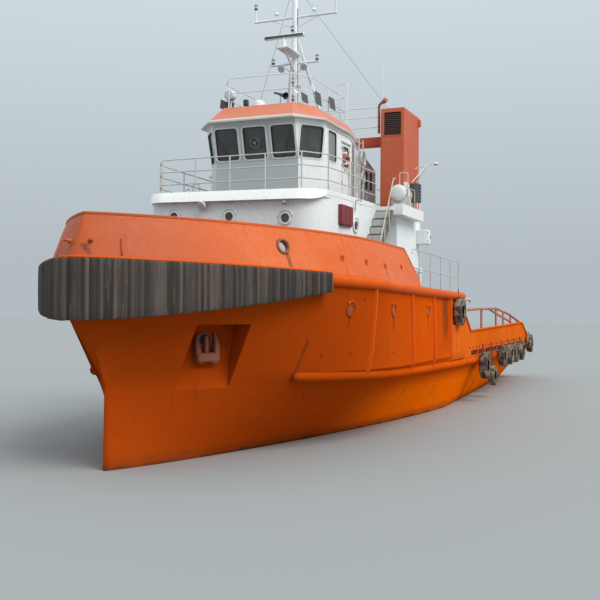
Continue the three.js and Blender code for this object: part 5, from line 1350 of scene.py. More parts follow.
def makeBridgeInside():
    front = [(8.28, bridgeFootZ), (9.05, bridgeFootZ), (9.05, 8.28), (8.65, 8.28), (8.28, 8.0)]
    desk = onWall((8.465, 0, 8.141), (-0.603, 0, 0.797), (0, 0, 1))
    parts = [(sideSlab(front, -1.15, 1.15, 0.015), consoleGrey)]
    for y in (-0.78, -0.26, 0.26, 0.78):
        parts += [(placed(slab(roundedBox(0.4, 0.3, 0.02) + [y, 0.0], -0.01, 0.012, 0.003), desk), black)]
        parts += [(placed(slab(roundedBox(0.35, 0.25, 0.01) + [y, 0.0], 0.0, 0.014), desk), screen)]
    parts += [(placed(rods((y, -0.19, 0.0), (y, -0.17, 0.12), 0.012, 8), desk), black)
        for y in (-0.08, 0.08, 0.52)]
    parts += [(placed(turned([(0.028, 0), (0.022, 0.03)], (y, -0.17, 0.11), sides=14), desk), redBox)
        for y in (-0.08, 0.08)]
    makePiece("bridgeConsole", parts, "grey_paint", ["bridge_console"])
    x, z = 7.75, bridgeFootZ
    chair = [(turned([(0.23, 0), (0.23, 0.02), (0.2, 0.04), (0.05, 0.06), (0.05, 0.5)], (x, 0, z),
        sides=24), steel), (block((x - 0.26, -0.27, z + 0.5), (x + 0.26, 0.27, z + 0.64), 0.05), black),
        (block((x - 0.29, -0.25, z + 0.6), (x - 0.19, 0.25, z + 1.35), 0.04), black),
        (block((x - 0.2, -0.3, z + 0.8), (x + 0.16, -0.24, z + 0.84), 0.015), black),
        (block((x - 0.2, 0.24, z + 0.8), (x + 0.16, 0.3, z + 0.84), 0.015), black)]
    makePiece("helmChair", chair, "black_vinyl", ["helm_chair"])


def makeRafts():
    at = array([5.87, 3.72, 7.63])
    can = [(0.08, -0.47), (0.2, -0.465), (0.255, -0.43), (0.28, -0.37), (0.28, -0.3), (0.268, -0.29),
        (0.268, -0.2), (0.28, -0.19), (0.28, 0.19), (0.268, 0.2), (0.268, 0.29), (0.28, 0.3), (0.28, 0.37),
        (0.255, 0.43), (0.2, 0.465), (0.08, 0.47)]
    parts = [(turned(can, at, (1, 0, 0), 44), raftWhite)]
    parts += [(turned([(0.266, x - 0.025), (0.278, x - 0.025), (0.278, x + 0.025), (0.266, x + 0.025)], at,
        (1, 0, 0), 44, True), black) for x in (-0.245, 0.245)]
    parts += [(block((at[0] - 0.4, at[1] - 0.277, 7.622), (at[0] + 0.4, at[1] + 0.277, 7.638), 0.003),
        raftWhite)]
    for x in (at[0] - 0.25, at[0] + 0.25):
        cradle = [(-0.26, bridgeFootZ), (0.26, bridgeFootZ), (0.26, 7.51), (0.2, 7.51), (0.12, 7.39), (0, 7.34),
            (-0.12, 7.39), (-0.2, 7.51), (-0.26, 7.51)]
        plate = placed(slab(array(cradle) + [at[1], 0], x - 0.035, x + 0.035, 0.005), crossOn)
        parts += [(plate, trimWhite)]
    makePair("lifeRaft", parts, "white_paint", "life_raft")


def makeDeckGear():
    side = [(9.0, 6.3), (9.98, 6.3), (9.98, 6.88), (9.0, 6.88)]
    parts = painted(redBox, sideSlab(side, 2.95, 3.115, 0.012),
        sideSlab([(9.1, 6.26), (9.9, 6.26), (9.9, 6.29), (9.1, 6.29)], 2.95, 3.1, 0.004))
    parts += [(sideSlab([(x, 6.34), (x + 0.02, 6.34), (x + 0.02, 6.84), (x, 6.84)], 3.1, 3.122, 0.002), redBox)
        for x in (9.3, 9.66)]
    parts += [(pipe(bent([(8.84, 3.12, 6.8), (8.84, 3.14, 7.12), (8.86, 3.32, 7.12), (8.86, 3.33, 7.04)], 0.04),
        0.016, 8), stepGrey)]
    parts += floodLamp((8.86, 3.33, 6.98), (0.1, 0.1, -1), 0.05)
    parts += ladder(5.57, 2.2, 7.14, 9.62, (0, 1, 0), railGrey, 0.42)
    parts += cabinet((4.36, 2.055, 7.13), (4.74, 2.16, 7.75), trimWhite)
    parts += [(placed(turned([(r, 0.02), (r + 0.03, 0.05), (r, 0.08), (r - 0.03, 0.05)], sides=32, closed=True),
        onWall((5.57, 2.23, z), (0, 1, 0))), coilGrey) for r, z in ((0.2, 8.96), (0.25, 8.96), (0.17, 8.3))]
    boxLow, boxHigh = (4.42, 3.72, 7.48), (4.8, 4.02, 8.13)
    parts += cabinet(boxLow, boxHigh, panelGreyAndCabinShade, 6)
    parts += [(rods([(x, y, 6.93) for x in (4.47, 4.75) for y in (3.78, 3.97)],
        [(x, y, 7.49) for x in (4.47, 4.75) for y in (3.78, 3.97)], 0.018, 8), trimWhite)]
    parts += cabinet((4.95, 3.5, 7.121), (5.28, 3.74, 8.12), trimWhite)
    arm = [((4.0, 3.56, 8.73), (4.0, 4.42, 8.92)), ((4.35, 3.66, 8.22), (4.02, 4.12, 8.85)),
        ((3.95, 3.66, 8.16), (3.99, 4.12, 8.84))]
    parts += [(rods([a for a, _ in arm], [b for _, b in arm], 0.02, 8), trimWhite)]
    parts += floodLamp((4.0, 4.44, 8.88), (0.25, 0.2, -1), 0.07)
    parts += cabinet((3.5, 3.7, 6.1), (3.9, 4.11, 6.6), trimWhite)
    parts += [(turned([(0.075, 0), (0.075, 0.6), (0.12, 0.6), (0.125, 0.66), (0.1, 0.73), (0.04, 0.76)],
        (4.5, 3.98, deckZ(4.5)), sides=24), trimWhite)]
    parts += [(turned([(0.06, 0), (0.06, 0.45), (0.1, 0.46), (0.1, 0.52), (0.04, 0.56)], (2.2, 2.9, deckZ(2.2)),
        sides=24), trimWhite)]
    makePair("bridgeGear", parts, "white_paint")
    base = roof["high"]
    roofGear = [(rods((8.6, -1.27, base), (8.6, -1.27, 10.55), 0.03, 12), trimWhite)]
    roofGear += [(turned([(0.08, -0.16), (0.15, -0.12), (0.17, 0.0), (0.17, 0.14), (0.15, 0.15)],
        (8.62, -1.27, 10.76), (1, -0.1, 0.05), 28), trimWhite),
        (turned([(0.155, 0.13), (0.14, 0.155)], (8.62, -1.27, 10.76), (1, -0.1, 0.05), 28), lens)]
    roofGear += [(block((8.45, -0.82, 10.4), (8.62, -0.68, 10.6), 0.02), darkGrey),
        (rods((8.52, -0.75, base), (8.52, -0.75, 10.42), 0.02, 8), trimWhite)]
    roofGear += [(rods([(8.5, -0.5, base), (8.5, -0.42, base)], [(8.5, -0.5, 11.05), (8.5, -0.42, 10.98)],
        0.012, 6), trimWhite)]
    roofGear += [(turned([(0.03, 0), (0.035, 0.2), (0.05, 0.42), (0.12, 0.56), (0.1, 0.55), (0.03, 0.3)],
        (8.4, 0.2, 10.78), (0.35, 0.85, -0.33), 20), darkGrey),
        (rods((8.5, 0.45, base), (8.48, 0.45, 10.68), 0.02, 8), trimWhite)]
    for x, y, z, high in ((6.74, 1.58, 10.66, 0.4), (8.03, 1.58, 10.55, 0.42), (8.8, 1.42, 10.42, 0.28)):
        board = placed(slab(roundedBox(0.5, high, 0.02), -0.008, 0.008), onWall((x, y, z), (0, 1, 0.12)))
        roofGear += painted(panelGreyAndCabinShade, board, mirrored(board))
    frameRun = [(5.16, 1.56, base), (5.16, 1.56, 11.7), (5.16, 1.28, 11.7), (5.16, 1.28, base)]
    roofGear += [(pipe(bent(frameRun, 0.08), 0.02, 8), trimWhite)]
    roofGear += [(turned([(0.24, 0), (0.25, 0.1), (0.25, 0.22), (0.2, 0.36), (0.09, 0.43)], (7.3, -0.85, 10.42),
        sides=32), brightWhite)]
    roofGear += [(rods((7.3, -0.85, base), (7.3, -0.85, 10.45), 0.05, 12), trimWhite)]
    makePiece("roofGear", roofGear, "white_paint")


# Anchors, bitts, winches and the deck aft
anchorArm = {"table": ((-0.16, 0.225, 0.08, -0.04, 0.13), (-0.02, 0.245, 0.078, -0.05, 0.12),
    (0.12, 0.258, 0.068, -0.06, 0.1), (0.26, 0.258, 0.052, -0.08, 0.075), (0.38, 0.245, 0.034, -0.095, 0.045),
    (0.455, 0.228, 0.012, -0.1, 0.02))}


def makeAnchors():
    wall = onWall(onPocket(0.154, 0, 2.72), (0.618, 0.786, 0))
    rings = []
    # height, middle and half width along the side, middle and half depth
    for up, mid, half, out, deep in anchorArm["table"]:
        rings.append(column_stack([roundedBox(2 * half, 2 * deep, min(half, deep) * 0.6), np.full(20, up)])
            + [mid, out, 0])
    arm = lofted(array(rings)[..., [0, 2, 1]])
    crown = slab(roundedBox(0.6, 0.23, 0.06) + [0, -0.15], -0.19, 0.11, 0.035)
    shank = block((-0.05, -0.14, -0.185), (0.05, 0.38, -0.03), 0.02)
    pads = [block((x - 0.07, -0.3, -0.1), (x + 0.07, -0.24, 0.06), 0.015) for x in (-0.18, 0.18)]
    # a black disc closes the hawse pipe: painted shade of its opening
    hole = turned([(0.15, -0.192), (0.15, -0.186)], (0, 0.28, 0), sides=28)
    lip = turned([(0.15, -0.2), (0.15, -0.165), (0.19, -0.165), (0.2, -0.2)], (0, 0.28, 0), sides=28,
        closed=True)
    metal = [arm, (arm[0] * [-1, 1, 1], [face[::-1] for face in arm[1]]), crown, shank, *pads]
    parts = [(placed(part, wall), anchorRed) for part in metal] + [(placed(hole, wall), black),
        (placed(lip, wall), anchorRed)]
    makePair("anchor", parts, "hull_paint", "anchor")


def makeBitts():
    z = float(deckZ(16.3)) - 0.02
    post = [(0.14, 0), (0.14, 0.84), (0.165, 0.845), (0.165, 0.885), (0.15, 0.9)]
    bar = [(0.075, -0.65), (0.08, -0.62), (0.08, 0.62), (0.075, 0.65)]
    parts = [(turned(post, (16.3, y, z), sides=36), steel) for y in (-0.38, 0.38)]
    parts += painted(steel, turned(bar, (16.3, 0, z + 0.62), (0, 1, 0), 28),
        block((15.95, -0.7, z), (16.65, 0.7, z + 0.035), 0.01))
    makePiece("foreBitt", parts, "bare_steel", ["fore_bitt"])
    z = lines["aftDeckZ"] + 0.0006
    post = [(0.13, 0), (0.13, 0.6), (0.155, 0.605), (0.155, 0.635), (0.14, 0.65)]
    parts = [(turned(post, (x, 3.5, z), sides=36), steel)
        for x in (-15.95, -15.25)] + [(block((-16.2, 3.3, z), (-15.0, 3.7, z + 0.06), 0.012), steel)]
    makePair("aftBitts", parts, "bare_steel", "aft_bitts")


winch = {"x": -1.9, "z": 2.95, "drumR": 0.56, "flangeR": 0.8, "half": 1.05, "foot": aftFootZ, "cheek": 0.85,
    "axleR": 0.13, "thick": 0.12, "axle": 1.19}
windlass = {"x": 14.3, "z": 5.15, "drumR": 0.19, "flangeR": 0.33, "half": 0.42, "foot": 0, "cheek": 0.38,
    "axleR": 0.06, "thick": 0.07, "axle": 0.51}


def drumParts(d):  # rope grooves, flanges and stub axles turned as one, with spokes on the flanges
    half, flangeR, axleR = (d[k] for k in ("half", "flangeR", "axleR"))
    inner = half - 0.06
    groove = between(-inner, inner, 121)
    body = [(d["drumR"] - 0.01 * d["drumR"] / 0.56 * abs(math.sin(20 * math.pi * y / inner)), y)
        for y in groove]
    edge = 0.012
    port = [(flangeR - edge, inner), (flangeR, inner + edge), (flangeR, half - edge), (flangeR - edge, half),
        (1.9 * axleR, half), (1.8 * axleR, half + 0.018), (axleR, half + 0.02), (axleR, d["axle"])]
    star = [(r, -y) for r, y in port][::-1]
    parts = [(turned(star + body + port, (d["x"], 0, d["z"]), (0, 1, 0), 56), steel)]
    a = arange(8) * math.pi / 4
    for y in (half, -half):
        spoke = lambda r: column_stack([d["x"] + r * np.cos(a), np.full(8, y), d["z"] + r * np.sin(a)])
        parts += [(rods(spoke(1.9 * axleR), spoke(flangeR - 0.06), 0.014, 6), steel)]
    return parts


def frameParts(d, finish):  # the port cheek of a winch with its web, collar and bore, and the bases of both
    axleR = d["axleR"]
    inner, top, half = d["half"] + 0.03, d["z"] + 2.2 * axleR + 0.06, d["cheek"]
    outer = inner + d["thick"]
    x, foot = d["x"], d["foot"]
    side = [(x - half, foot), (x + half, foot), (x + 0.45 * half, top), (x - 0.45 * half, top)]
    cheeks = sideSlab(side, inner, outer, 0.012)
    bases = [(block((x + end * half * 0.98 - 0.06, -outer, foot),
        (x + end * half * 0.98 + 0.06, outer, foot + 0.09), 0.01), finish) for end in (-1, 1)]
    bore = rods((x, inner - 0.1, d["z"]), (x, outer + 0.1, d["z"]), axleR + 0.01, 28)
    collar = turned([(axleR + 0.011, 0), (1.8 * axleR, 0), (1.7 * axleR, 0.04 * axleR / 0.06),
        (axleR + 0.011, 0.04 * axleR / 0.06)], (x, outer, d["z"]), (0, 1, 0), 32, True)
    web = [(sideSlab([(x + s * half * 0.93, foot), (x + s * half * 0.99, foot), (x + s * 0.46 * half, top),
        (x + s * 0.42 * half, top)][::s], outer - 0.01, outer + 0.05, 0.004), finish) for s in (-1, 1)]
    return cheeks, bases, bore, collar, web


def makeWinches():
    windlass["foot"] = float(deckZ(windlass["x"])) - 0.04
    for node, d, finish, slot in (("winch", winch, pipeOrange, "hull_paint"),
            ("windlass", windlass, stepGrey, "grey_paint")):
        cheek, bases, bore, collar, web = frameParts(d, finish)
        both = bothSides([(cheek, finish)]) + bases
        piece = makePiece(node + "Frame", both, slot, [node + "_frame"])
        cutBy(piece, bothSides([(bore, steel)]), 34)
        makePiece(node + "Collars", bothSides([(collar, finish), *web]), slot)
        makePiece(node + "Drum", drumParts(d), "bare_steel", [node + "_drum"], node + "_drum")
    motor = [(turned([(0.16, 0), (0.2, 0.02), (0.2, 0.42), (0.14, 0.48)], (-1.35, 1.26, 2.35), (0, 1, 0), 32),
        pipeOrange), (block((-1.62, 1.22, aftFootZ), (-1.08, 1.72, 2.12), 0.02), pipeOrange),
        (block((-2.75, 1.35, aftFootZ), (-2.45, 1.65, 2.95), 0.02), pipeOrange),
        (rods([(-2.6, y, 2.94) for y in (1.42, 1.5, 1.58)], [(-2.58, y, 3.14) for y in (1.42, 1.5, 1.58)],
        0.01, 8), black)]
    makePiece("winchDrive", motor, "hull_paint")
    r, half, end = 0.29, 1.65, 1.704
    groove = [(r - 0.012 if abs(abs(y) - 1.58) < 0.012 else r, y) for y in between(-half, half, 140)]
    body = [(0.07, -end), (0.07, -half), (r - 0.02, -half), *groove, (r - 0.02, half), (0.07, half),
        (0.07, end)]
    makePiece("sternRoller", [(turned(body, (-18.77, 0, 1.7), (0, 1, 0), 64), steel)], "bare_steel",
        ["stern_roller"], "stern_roller")


steelLeaf = {"width": 0.76, "out": (-1, 0, 0)}


def steelDoor(mid, height, finish, hinge):  # a weathertight door: panel, stiffeners, dogs and hinges
    width, wall = steelLeaf["width"], onWall(mid, steelLeaf["out"])
    panel = slab(roundedBox(width, height, 0.1, 8), -0.05, 0, 0.008)
    parts = [panel, hollow(roundedBox(width - 0.1, height - 0.1, 0.08),
        roundedBox(width - 0.14, height - 0.14, 0.06), -0.01, 0.012)]
    parts += [block((-0.36 * width, y - 0.02, -0.01), (0.36 * width, y + 0.02, 0.02), 0.004)
        for y in (-0.28 * height, 0.28 * height)]
    small = []
    for y in between(-0.38, 0.38, 3) * height:
        at = -hinge * (width / 2 - 0.06)
        small += [block((at - 0.05, y - 0.015, 0.012), (at + 0.1, y + 0.015, 0.03), 0.005),
            turned([(0.028, 0), (0.028, 0.035)], (at, y, 0), sides=16)]
    for y in (-0.3 * height, 0.3 * height):
        at = hinge * (width / 2 - 0.03)
        small.append(block((at - 0.11, y - 0.03, 0), (at + 0.02, y + 0.03, 0.022), 0.005))
    return [(placed(part, wall), finish) for part in parts] + [(placed(part, wall), steel) for part in small]


def makeSteelDoors():
    makePiece("breakDoor", steelDoor((0.505, -1.6, 3.075), 1.75, pipeOrange, 1), "hull_paint", ["break_door"],
        "break_door")
    makePiece("casingDoor", steelDoor((3.305, 0.9, 5.75), 1.78, trimWhite, -1), "white_paint", ["casing_door"],
        "casing_door")
    lid = [(block((-12.92, 2.08, 2.356), (-12.08, 2.92, 2.406), 0.02), pipeOrange),
        (pipe(bent([(-12.2, 2.38, 2.4), (-12.2, 2.38, 2.45), (-12.2, 2.62, 2.45), (-12.2, 2.62, 2.4)], 0.03),
        0.01, 8), steel)]
    lid += [(block((-12.12, y - 0.04, 2.4), (-12.06, y + 0.04, 2.43), 0.006), steel) for y in (2.2, 2.8)]
    lid += [(block((-12.94, y - 0.04, 2.4), (-12.82, y + 0.04, 2.425), 0.006), steel) for y in (2.25, 2.75)]
    makePiece("hatchLid", lid, "hull_paint", ["hatch_lid"], "hatch_lid")


crash = {"in": 0.2, "main": ((-0.6, 3.78), (-4.2, 3.85), (-7.8, 3.87), (-11.7, 3.6), (-15.9, 3.165)),
    "brace": ((-5.8, 3.86), (-9.1, 3.5), (-12.4, 3.2)), "posts": ((-0.7, 3.78), (-4.2, 3.85), (-7.8, 3.87),
    (-9.9, 3.7), (-12.4, 3.53), (-15.0, 3.26))}


def makeCrashRails():
    def along(points, steps):
        p = array(points)
        x = np.unique(np.round(concatenate([p[:, 0], between(p[0, 0], p[-1, 0], steps)]), 3))[::-1]
        z = np.interp(-x, -p[:, 0], p[:, 1])
        return column_stack([x, hullHalf(x, lines["aftDeckZ"]) - crash["in"], z])
    p = array(crash["posts"])
    y = hullHalf(p[:, 0], lines["aftDeckZ"]) - crash["in"]
    parts = painted(crashPink, pipe(along(crash["main"], 50), 0.06, 14),
        pipe(along(crash["brace"], 30), 0.05, 12), rods(column_stack([p[:, 0], y, np.full(len(p), aftFootZ)]),
        column_stack([p[:, 0], y, p[:, 1]]), 0.05, 12))
    parts += [(block((x - 0.12, yy - 0.1, aftFootZ), (x + 0.12, yy + 0.1, 1.93), 0.005), crashPink) for x,
        yy in zip(p[:, 0], y)]
    makePair("crashRail", parts, "rail_paint", "crash_rail")


tyres = {"table": ((-2.5, 1.5, 0.55), (-4.5, 0.96, 0.43), (-7.0, 1.7, 0.5), (-9.0, 1.7, 0.5), (-11.0, 1.7, 0.5),
    (-13.3, 1.7, 0.5), (-17.3, 1.95, 0.5)), "high": (2.0, 3.7, 0.5),
    "rope": ((-2.3, 2.06), (-4.5, 2.0), (-9.5, 2.0), (-17.5, 2.0)), "out": 0.19}
tyreSection = ((0.5, -0.24), (0.57, -0.3), (0.72, -0.285), (0.84, -0.3), (0.92, -0.25), (0.965, -0.2),
    (1.0, -0.12), (0.99, -0.06), (1.0, -0.05), (1.0, 0.05), (0.99, 0.06), (1.0, 0.12), (0.965, 0.2),
    (0.92, 0.25), (0.84, 0.3), (0.72, 0.285), (0.57, 0.3), (0.5, 0.24), (0.53, 0.19), (0.75, 0.21), (0.86, 0.1),
    (0.86, -0.1), (0.75, -0.21), (0.53, -0.19))


def tyreParts(x, y, z, r):  # the section turned round an axis across the ship, with its lugs
    ring = turned([(a * r, b * r) for a, b in tyreSection], (x, y + 0.3 * r, z), (0, 1, 0), 56, True)
    a = arange(28) * 2 * math.pi / 28
    spot = lambda q, out: column_stack([x + q * r * np.cos(a), np.full(28, y + 0.3 * r + out * r),
        z + q * r * np.sin(a)])
    lugs = rods(spot(0.9, 0.27), spot(0.985, 0.16), 0.018 * r / 0.5, 5)
    return painted(tyre, ring, lugs)


def makeTyres():
    t = tyres
    y = lambda x: float(hullHalf(x, 1.75)) + t["out"]
    parts = []
    for x, z, r in t["table"]:
        parts += tyreParts(x, y(x), z, r)
        top = z + 0.8 * r
        head = max(top + 0.25, 2.4)
        parts += [(rods([(x - 0.1, y(x) + 0.05, head), (x + 0.1, y(x) + 0.05, head)],
            [(x - 0.05, y(x) + 0.3 * r, top), (x + 0.05, y(x) + 0.3 * r, top)], 0.016, 6), ropeBrown)]
    x, z, r = t["high"]
    parts += tyreParts(x, float(hullHalf(x, z)) + 0.02, z, r)
    parts += [(rods((x - 0.06, float(hullHalf(x, z)) + 0.14, z + 0.35),
        (x - 0.02, float(hullHalf(x, z)) + 0.1, z + 0.85), 0.018, 8), ropeBrown)]
    y = float(hullHalf(0.8, z)) - 0.06
    parts += painted(coilGrey, pipe(bent([(1.0, y, 4.2), (-0.78, y, 4.2), (-0.86, y, 4.1)], 0.05), 0.045, 10),
        rods((-0.12, y, 3.54), (-0.12, y, 4.19), 0.028, 8))
    run = array(t["rope"])
    xs = between(-2.3, -17.5, 80)
    zs = np.interp(-xs, -run[:, 0], run[:, 1]) + 0.02 * np.sin(xs * 2.1) - 0.02
    line = column_stack([xs, hullHalf(xs, 1.75) + t["out"] + 0.1, zs])
    parts += [(pipe(line, 0.028, 8), ropeBrown)]
    makePair("tyreFenders", parts, "tyre_rubber", "tyre_fenders")


aftWall = {"front": 3.5, "peakX": 0.0, "peak": 3.58, "lowX": -0.9, "low": 2.99, "fallX": -15.35, "fall": 3.18,
    "stern": 2.1, "thick": 0.06, "slot": (-1.75, 1.5, 10, 0.66), "rollerEnd": 1.77}


def aftWallTop(x):  # straight between the marked heights
    a = aftWall
    at = array([(lines["transomX"], a["stern"]), (a["fallX"], a["fall"]), (a["lowX"], a["low"]),
        (a["peakX"], a["peak"]), (0.5, a["front"])])
    return np.interp(x, at[:, 0], at[:, 1])


def makeAftWalls():
    a = aftWall
    x = concatenate([between(0.5, -0.9, 12), between(-1.2, -15.35, 50), between(-15.6, -17.9, 9),
        between(-18.0, -19.05, 24)])
    corner = float(hullHalf(lines["transomX"], 1.9)) - 0.06
    path = concatenate([column_stack([x, hullHalf(x, 1.9)]), [(lines["transomX"], corner)],
        column_stack([np.full(8, lines["transomX"]), between(corner - 0.3, a["rollerEnd"], 8)])])
    out = -leftOf(path)
    top = aftWallTop(path[:, 0])
    zero, t = 0 * top, a["thick"]
    rows = [(zero - 0.01, zero + 1.87), (zero - 0.01, top - 0.06), (zero + 0.045, top - 0.055),
        (zero + 0.045, top - 0.01), (zero + 0.035, top), (zero - 0.045 - t, top),
        (zero - 0.055 - t, top - 0.01), (zero - 0.055 - t, top - 0.055), (zero - 0.01 - t, top - 0.06),
        (zero - 0.01 - t, zero + 1.87)]
    first, pitch, count, half = a["slot"]
    slots = [(block((s - half, 3.5, 1.96), (s + half, 5.2, 2.16), 0.03), anchorRed)
        for s in first - pitch * arange(count)]
    makePair("aftBulwark", [(alongRim(path, out, rows), aftOrange)], "hull_paint", "aft_bulwark", False, slots)
    stays = []
    for x in arange(-1.4, -17.5, -1.5):
        y, z = float(hullHalf(x, 1.9)) - 0.07, float(aftWallTop(x)) - 0.12
        stays += [(placed(slab([(y - 0.2, 1.9), (y, 1.9), (y, z), (y - 0.05, z)], x - 0.006, x + 0.006),
            crossOn), aftOrange)]
    makePair("aftBulwarkStays", stays, "hull_paint")
    x = between(0.42, 2.7, 16)[:, None]
    z = 1.95 + between(0, 1, 9)[None] * (3.5 - (x - 0.5) * 0.15 - 1.95)
    y = hullHalf(x, z)
    plate = lambda out: stack([np.broadcast_to(x, z.shape), y + out, z], -1)
    lap = lofted(concatenate([plate(0.045), plate(-0.02)[:, ::-1]], 1))
    makePair("bulwarkWing", [(lap, aftOrange)], "hull_paint")


def makeSternGear():
    s = shaft
    table = array([(0.12, 0.19, 0.95, 0.045), (0.5, 0.37, 0.6, 0.026), (0.84, 0.4, 0.42, 0.016),
        (0.95, 0.345, 0.38, 0.011), (0.985, 0.2, 0.365, 0.008)])
    r = concatenate([between(0.12, 0.95, 14), [0.97, 0.985]])
    half, pitch, thick = (np.interp(r, table[:, 0], table[:, k]) for k in (1, 2, 3))
    u = between(-1, 1, 13)
    bulge = 1 - u ** 2
    chord = concatenate([u, u[::-1][1:-1]])[None] * half[:, None]
    deep = concatenate([bulge, -bulge[::-1][1:-1]])[None] * thick[:, None]
    dx = chord * np.sin(pitch)[:, None] + deep * np.cos(pitch)[:, None]
    dy = chord * np.cos(pitch)[:, None] - deep * np.sin(pitch)[:, None]
    blade = lofted(stack([s["propX"] + dx, dy, np.broadcast_to(r[:, None], dx.shape)], -1))
    shaftLine = Matrix.Translation((0, s["y"], s["z"]))
    parts = [(placed(blade, shaftLine @ Matrix.Rotation(k * math.pi / 2, 4, "X")), bronze) for k in range(4)]
    hub = [(0.03, -0.33), (0.09, -0.31), (0.14, -0.24), (0.18, -0.1), (0.19, 0.02), (0.195, 0.2), (0.198, 0.38)]
    parts += [(turned(hub, (s["propX"], s["y"], s["z"]), (1, 0, 0), 36), bronze)]
    makePair("propeller", parts, "bronze", "propeller", True)
    inner, outer = s["nozzleR"], s["nozzleOut"]
    foil = [(inner + 0.01, 0.56), (inner + 0.05, 0.575), (outer - 0.07, 0.54), (outer - 0.02, 0.4),
        (outer, 0.2), (inner + 0.13, -0.2), (inner + 0.09, -0.5), (inner + 0.06, -0.54), (inner + 0.04, -0.54),
        (inner + 0.01, -0.25), (inner, -0.1), (inner, 0.2), (inner + 0.003, 0.4)]
    foot = s["z"] + outer - 0.06
    head = block((s["propX"] - 0.4, s["y"] - 0.26, foot), (s["propX"] + 0.45, s["y"] + 0.26, foot + 0.96), 0.06)
    makePair("nozzle", painted(orange, turned(foil, (s["propX"], s["y"], s["z"]), (1, 0, 0), 72, True), head),
        "red_paint", "nozzle")
    t = between(0, 1, 20) ** 1.6
    # half thickness of a symmetric foil
    yt = 0.2969 * np.sqrt(t) - 0.126 * t - 0.3516 * t ** 2 + 0.2843 * t ** 3 - 0.1015 * t ** 4
    side = column_stack([rudder["x"] + rudder["ahead"] - rudder["chord"] * t, s["y"] + yt])
    other = column_stack([side[:, 0], 2 * s["y"] - side[:, 1]])[1:][::-1]
    plan = concatenate([side, other])
    plates = [(slab(plan, s["z"] - 1.15, s["z"] + 1.08), orange),
        (rods((rudder["x"], s["y"], s["z"] + 1.0), (rudder["x"], s["y"], -1.036), 0.09, 28), steel)]
    plates += [(slab(roundedBox(1.24, 0.2, 0.09) + [rudder["x"] - 0.27, s["y"]], z, z + 0.02, 0.004), orange)
        for z in (s["z"] - 1.15, s["z"] + 1.06)]
    makePair("rudder", plates, "red_paint", "rudder", True)


hullMarks = {"ports": ((12.37, 3.76), (9.88, 3.74), (6.0, 3.71)), "portR": 0.15,
    "nubs": ((13.03, 2.59), (12.04, 2.62), (9.81, 2.54), (7.95, 2.5), (6.25, 2.43), (12.67, 1.41), (9.91, 1.36),
    (8.24, 1.29), (6.34, 1.24), (4.69, 1.12), (3.11, 1.11), (1.94, 1.09), (-3.12, 0.94), (11.75, 4.05),
    (7.72, 3.88), (5.08, 3.46)), "scuppers": ((12.65, 5.12), (11.47, 5.07), (10.18, 5.02), (8.49, 5.07))}


def sidePoint(x, z):  # a point on the hull side and the way out from it
    e = 0.02
    dx = (hullHalf(x + e, z) - hullHalf(x - e, z)) / (2 * e)
    dz = (hullHalf(x, z + e) - hullHalf(x, z - e)) / (2 * e)
    return array([x, float(hullHalf(x, z)), z]), array([-float(dx), 1.0, -float(dz)])


def bulwarkPoint(x, z):  # the same on the leaning bulwark
    slope = (lineHalf(deckLine, lines["tipX"] - x + 0.02) - lineHalf(deckLine, lines["tipX"] - x - 0.02)) / 0.04
    part = (z - deckZ(x)) / (bulwark["height"] - bulwark["bowDrop"] * sheer(x) ** 2)
    y = lineHalf(deckLine, lines["tipX"] - x) - (0.02 + (bulwark["lean"] - 0.02) * part) * math.sqrt(1
        + slope ** 2)
    return array([x, float(y), z]), array([float(slope), 1.0, 0.34])


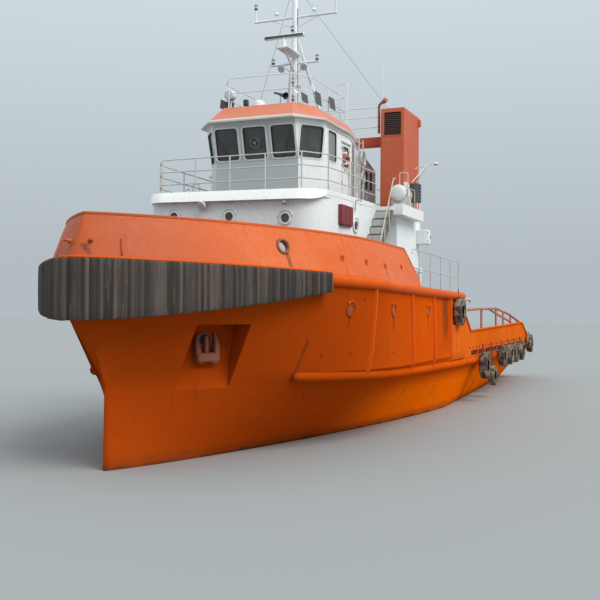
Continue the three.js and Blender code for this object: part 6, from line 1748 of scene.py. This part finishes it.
def makeHullMarks():
    m = hullMarks
    parts = []
    for x, z in m["ports"]:
        at, out = sidePoint(x, z)
        r = m["portR"]
        parts += [(turned([(r * 0.9, -0.02), (r * 0.9, 0.03), (r * 1.25, 0.03), (r * 1.3, -0.02)], at, out,
            32, True), orange)]
        parts += [(turned([(r * 0.92, -0.02), (r * 0.9, 0.008)], at, out, 32), anchorRed)]
        a = between(0.15, math.pi * 0.75, 14)
        brow = level(circle(a, 1.5 * r), 0.03)
        parts += [(placed(pipe(brow, 0.022, 8), onWall(at, out)), pipeOrange)]
    for x, z in m["nubs"]:
        at, out = sidePoint(x, z)
        parts += [(turned([(0.045, -0.02), (0.045, 0.015), (0.03, 0.028)], at, out, 16), orange)]
    for x, z in m["scuppers"]:
        at, out = bulwarkPoint(x, z)
        parts += [(turned([(0.05, -0.02), (0.05, 0.02), (0.062, 0.032), (0.08, 0.028), (0.086, -0.02)], at, out,
            28, True), pipeOrange)]
        # a dark red disc closes each scupper: painted shade of the opening
        parts += [(turned([(0.052, -0.02), (0.05, 0.006)], at, out, 28), anchorRed)]
    at, out = bulwarkPoint(fairlead["x"] - 0.03, fairlead["z"])
    r = fairlead["r"]
    ring = [(r - 0.005, -0.08), (r - 0.005, 0.02), (r + 0.02, 0.055), (r + 0.055, 0.05), (r + 0.075, 0.0),
        (r + 0.075, -0.03)]
    parts += [(turned(ring, at, out, 36, True), anchorRed)]
    at, out = bulwarkPoint(18.5, 5.26)
    parts += [(turned([(0.06, -0.03), (0.06, 0.02), (0.03, 0.1), (0.028, 0.14)], at, out, 18), fadedSkyLitOrange)]
    (low, out), (high, _) = bulwarkPoint(18.15, 4.95), bulwarkPoint(18.05, 5.32)
    out = out / np.linalg.norm(out)
    parts += [(pipe(bent([low - 0.02 * out, low + 0.05 * out, high + 0.05 * out, high - 0.02 * out], 0.03),
        0.016, 8), fadedSkyLitOrange)]
    makePair("hullMarks", parts, "hull_paint")
    bolt = [(0.04, -0.02), (0.04, 0.006), (0.03, 0.014)]
    bolts = [(turned(bolt, (x, float(hullHalf(x, 1.9)), 2.28), (0, 1, 0), 12), rustyMark)
        for x in between(1.9, -15.5, 27)]
    makePair("bulwarkBolts", bolts, "hull_paint")


for make in (makeHullMarks, makeFunnels, makeRails, makeStairs, makeMast, makeBridgeInside, makeRafts,
        makeDeckGear, makeAnchors, makeBitts, makeWinches, makeSteelDoors, makeCrashRails, makeTyres,
        makeAftWalls, makeSternGear):
    make()
    print(make.__name__, "done")


def makeFloor():
    mesh = bpy.data.meshes.new("floor")
    mesh.from_pydata([(-300, -300, 0), (300, -300, 0), (300, 300, 0), (-300, 300, 0)], [], [(0, 1, 2, 3)])
    f = Finish("paleFloor")
    mesh.materials.append(f.done(colour=light["floor"], rough=0.9))
    newObject("floor", mesh)


makeFloor()
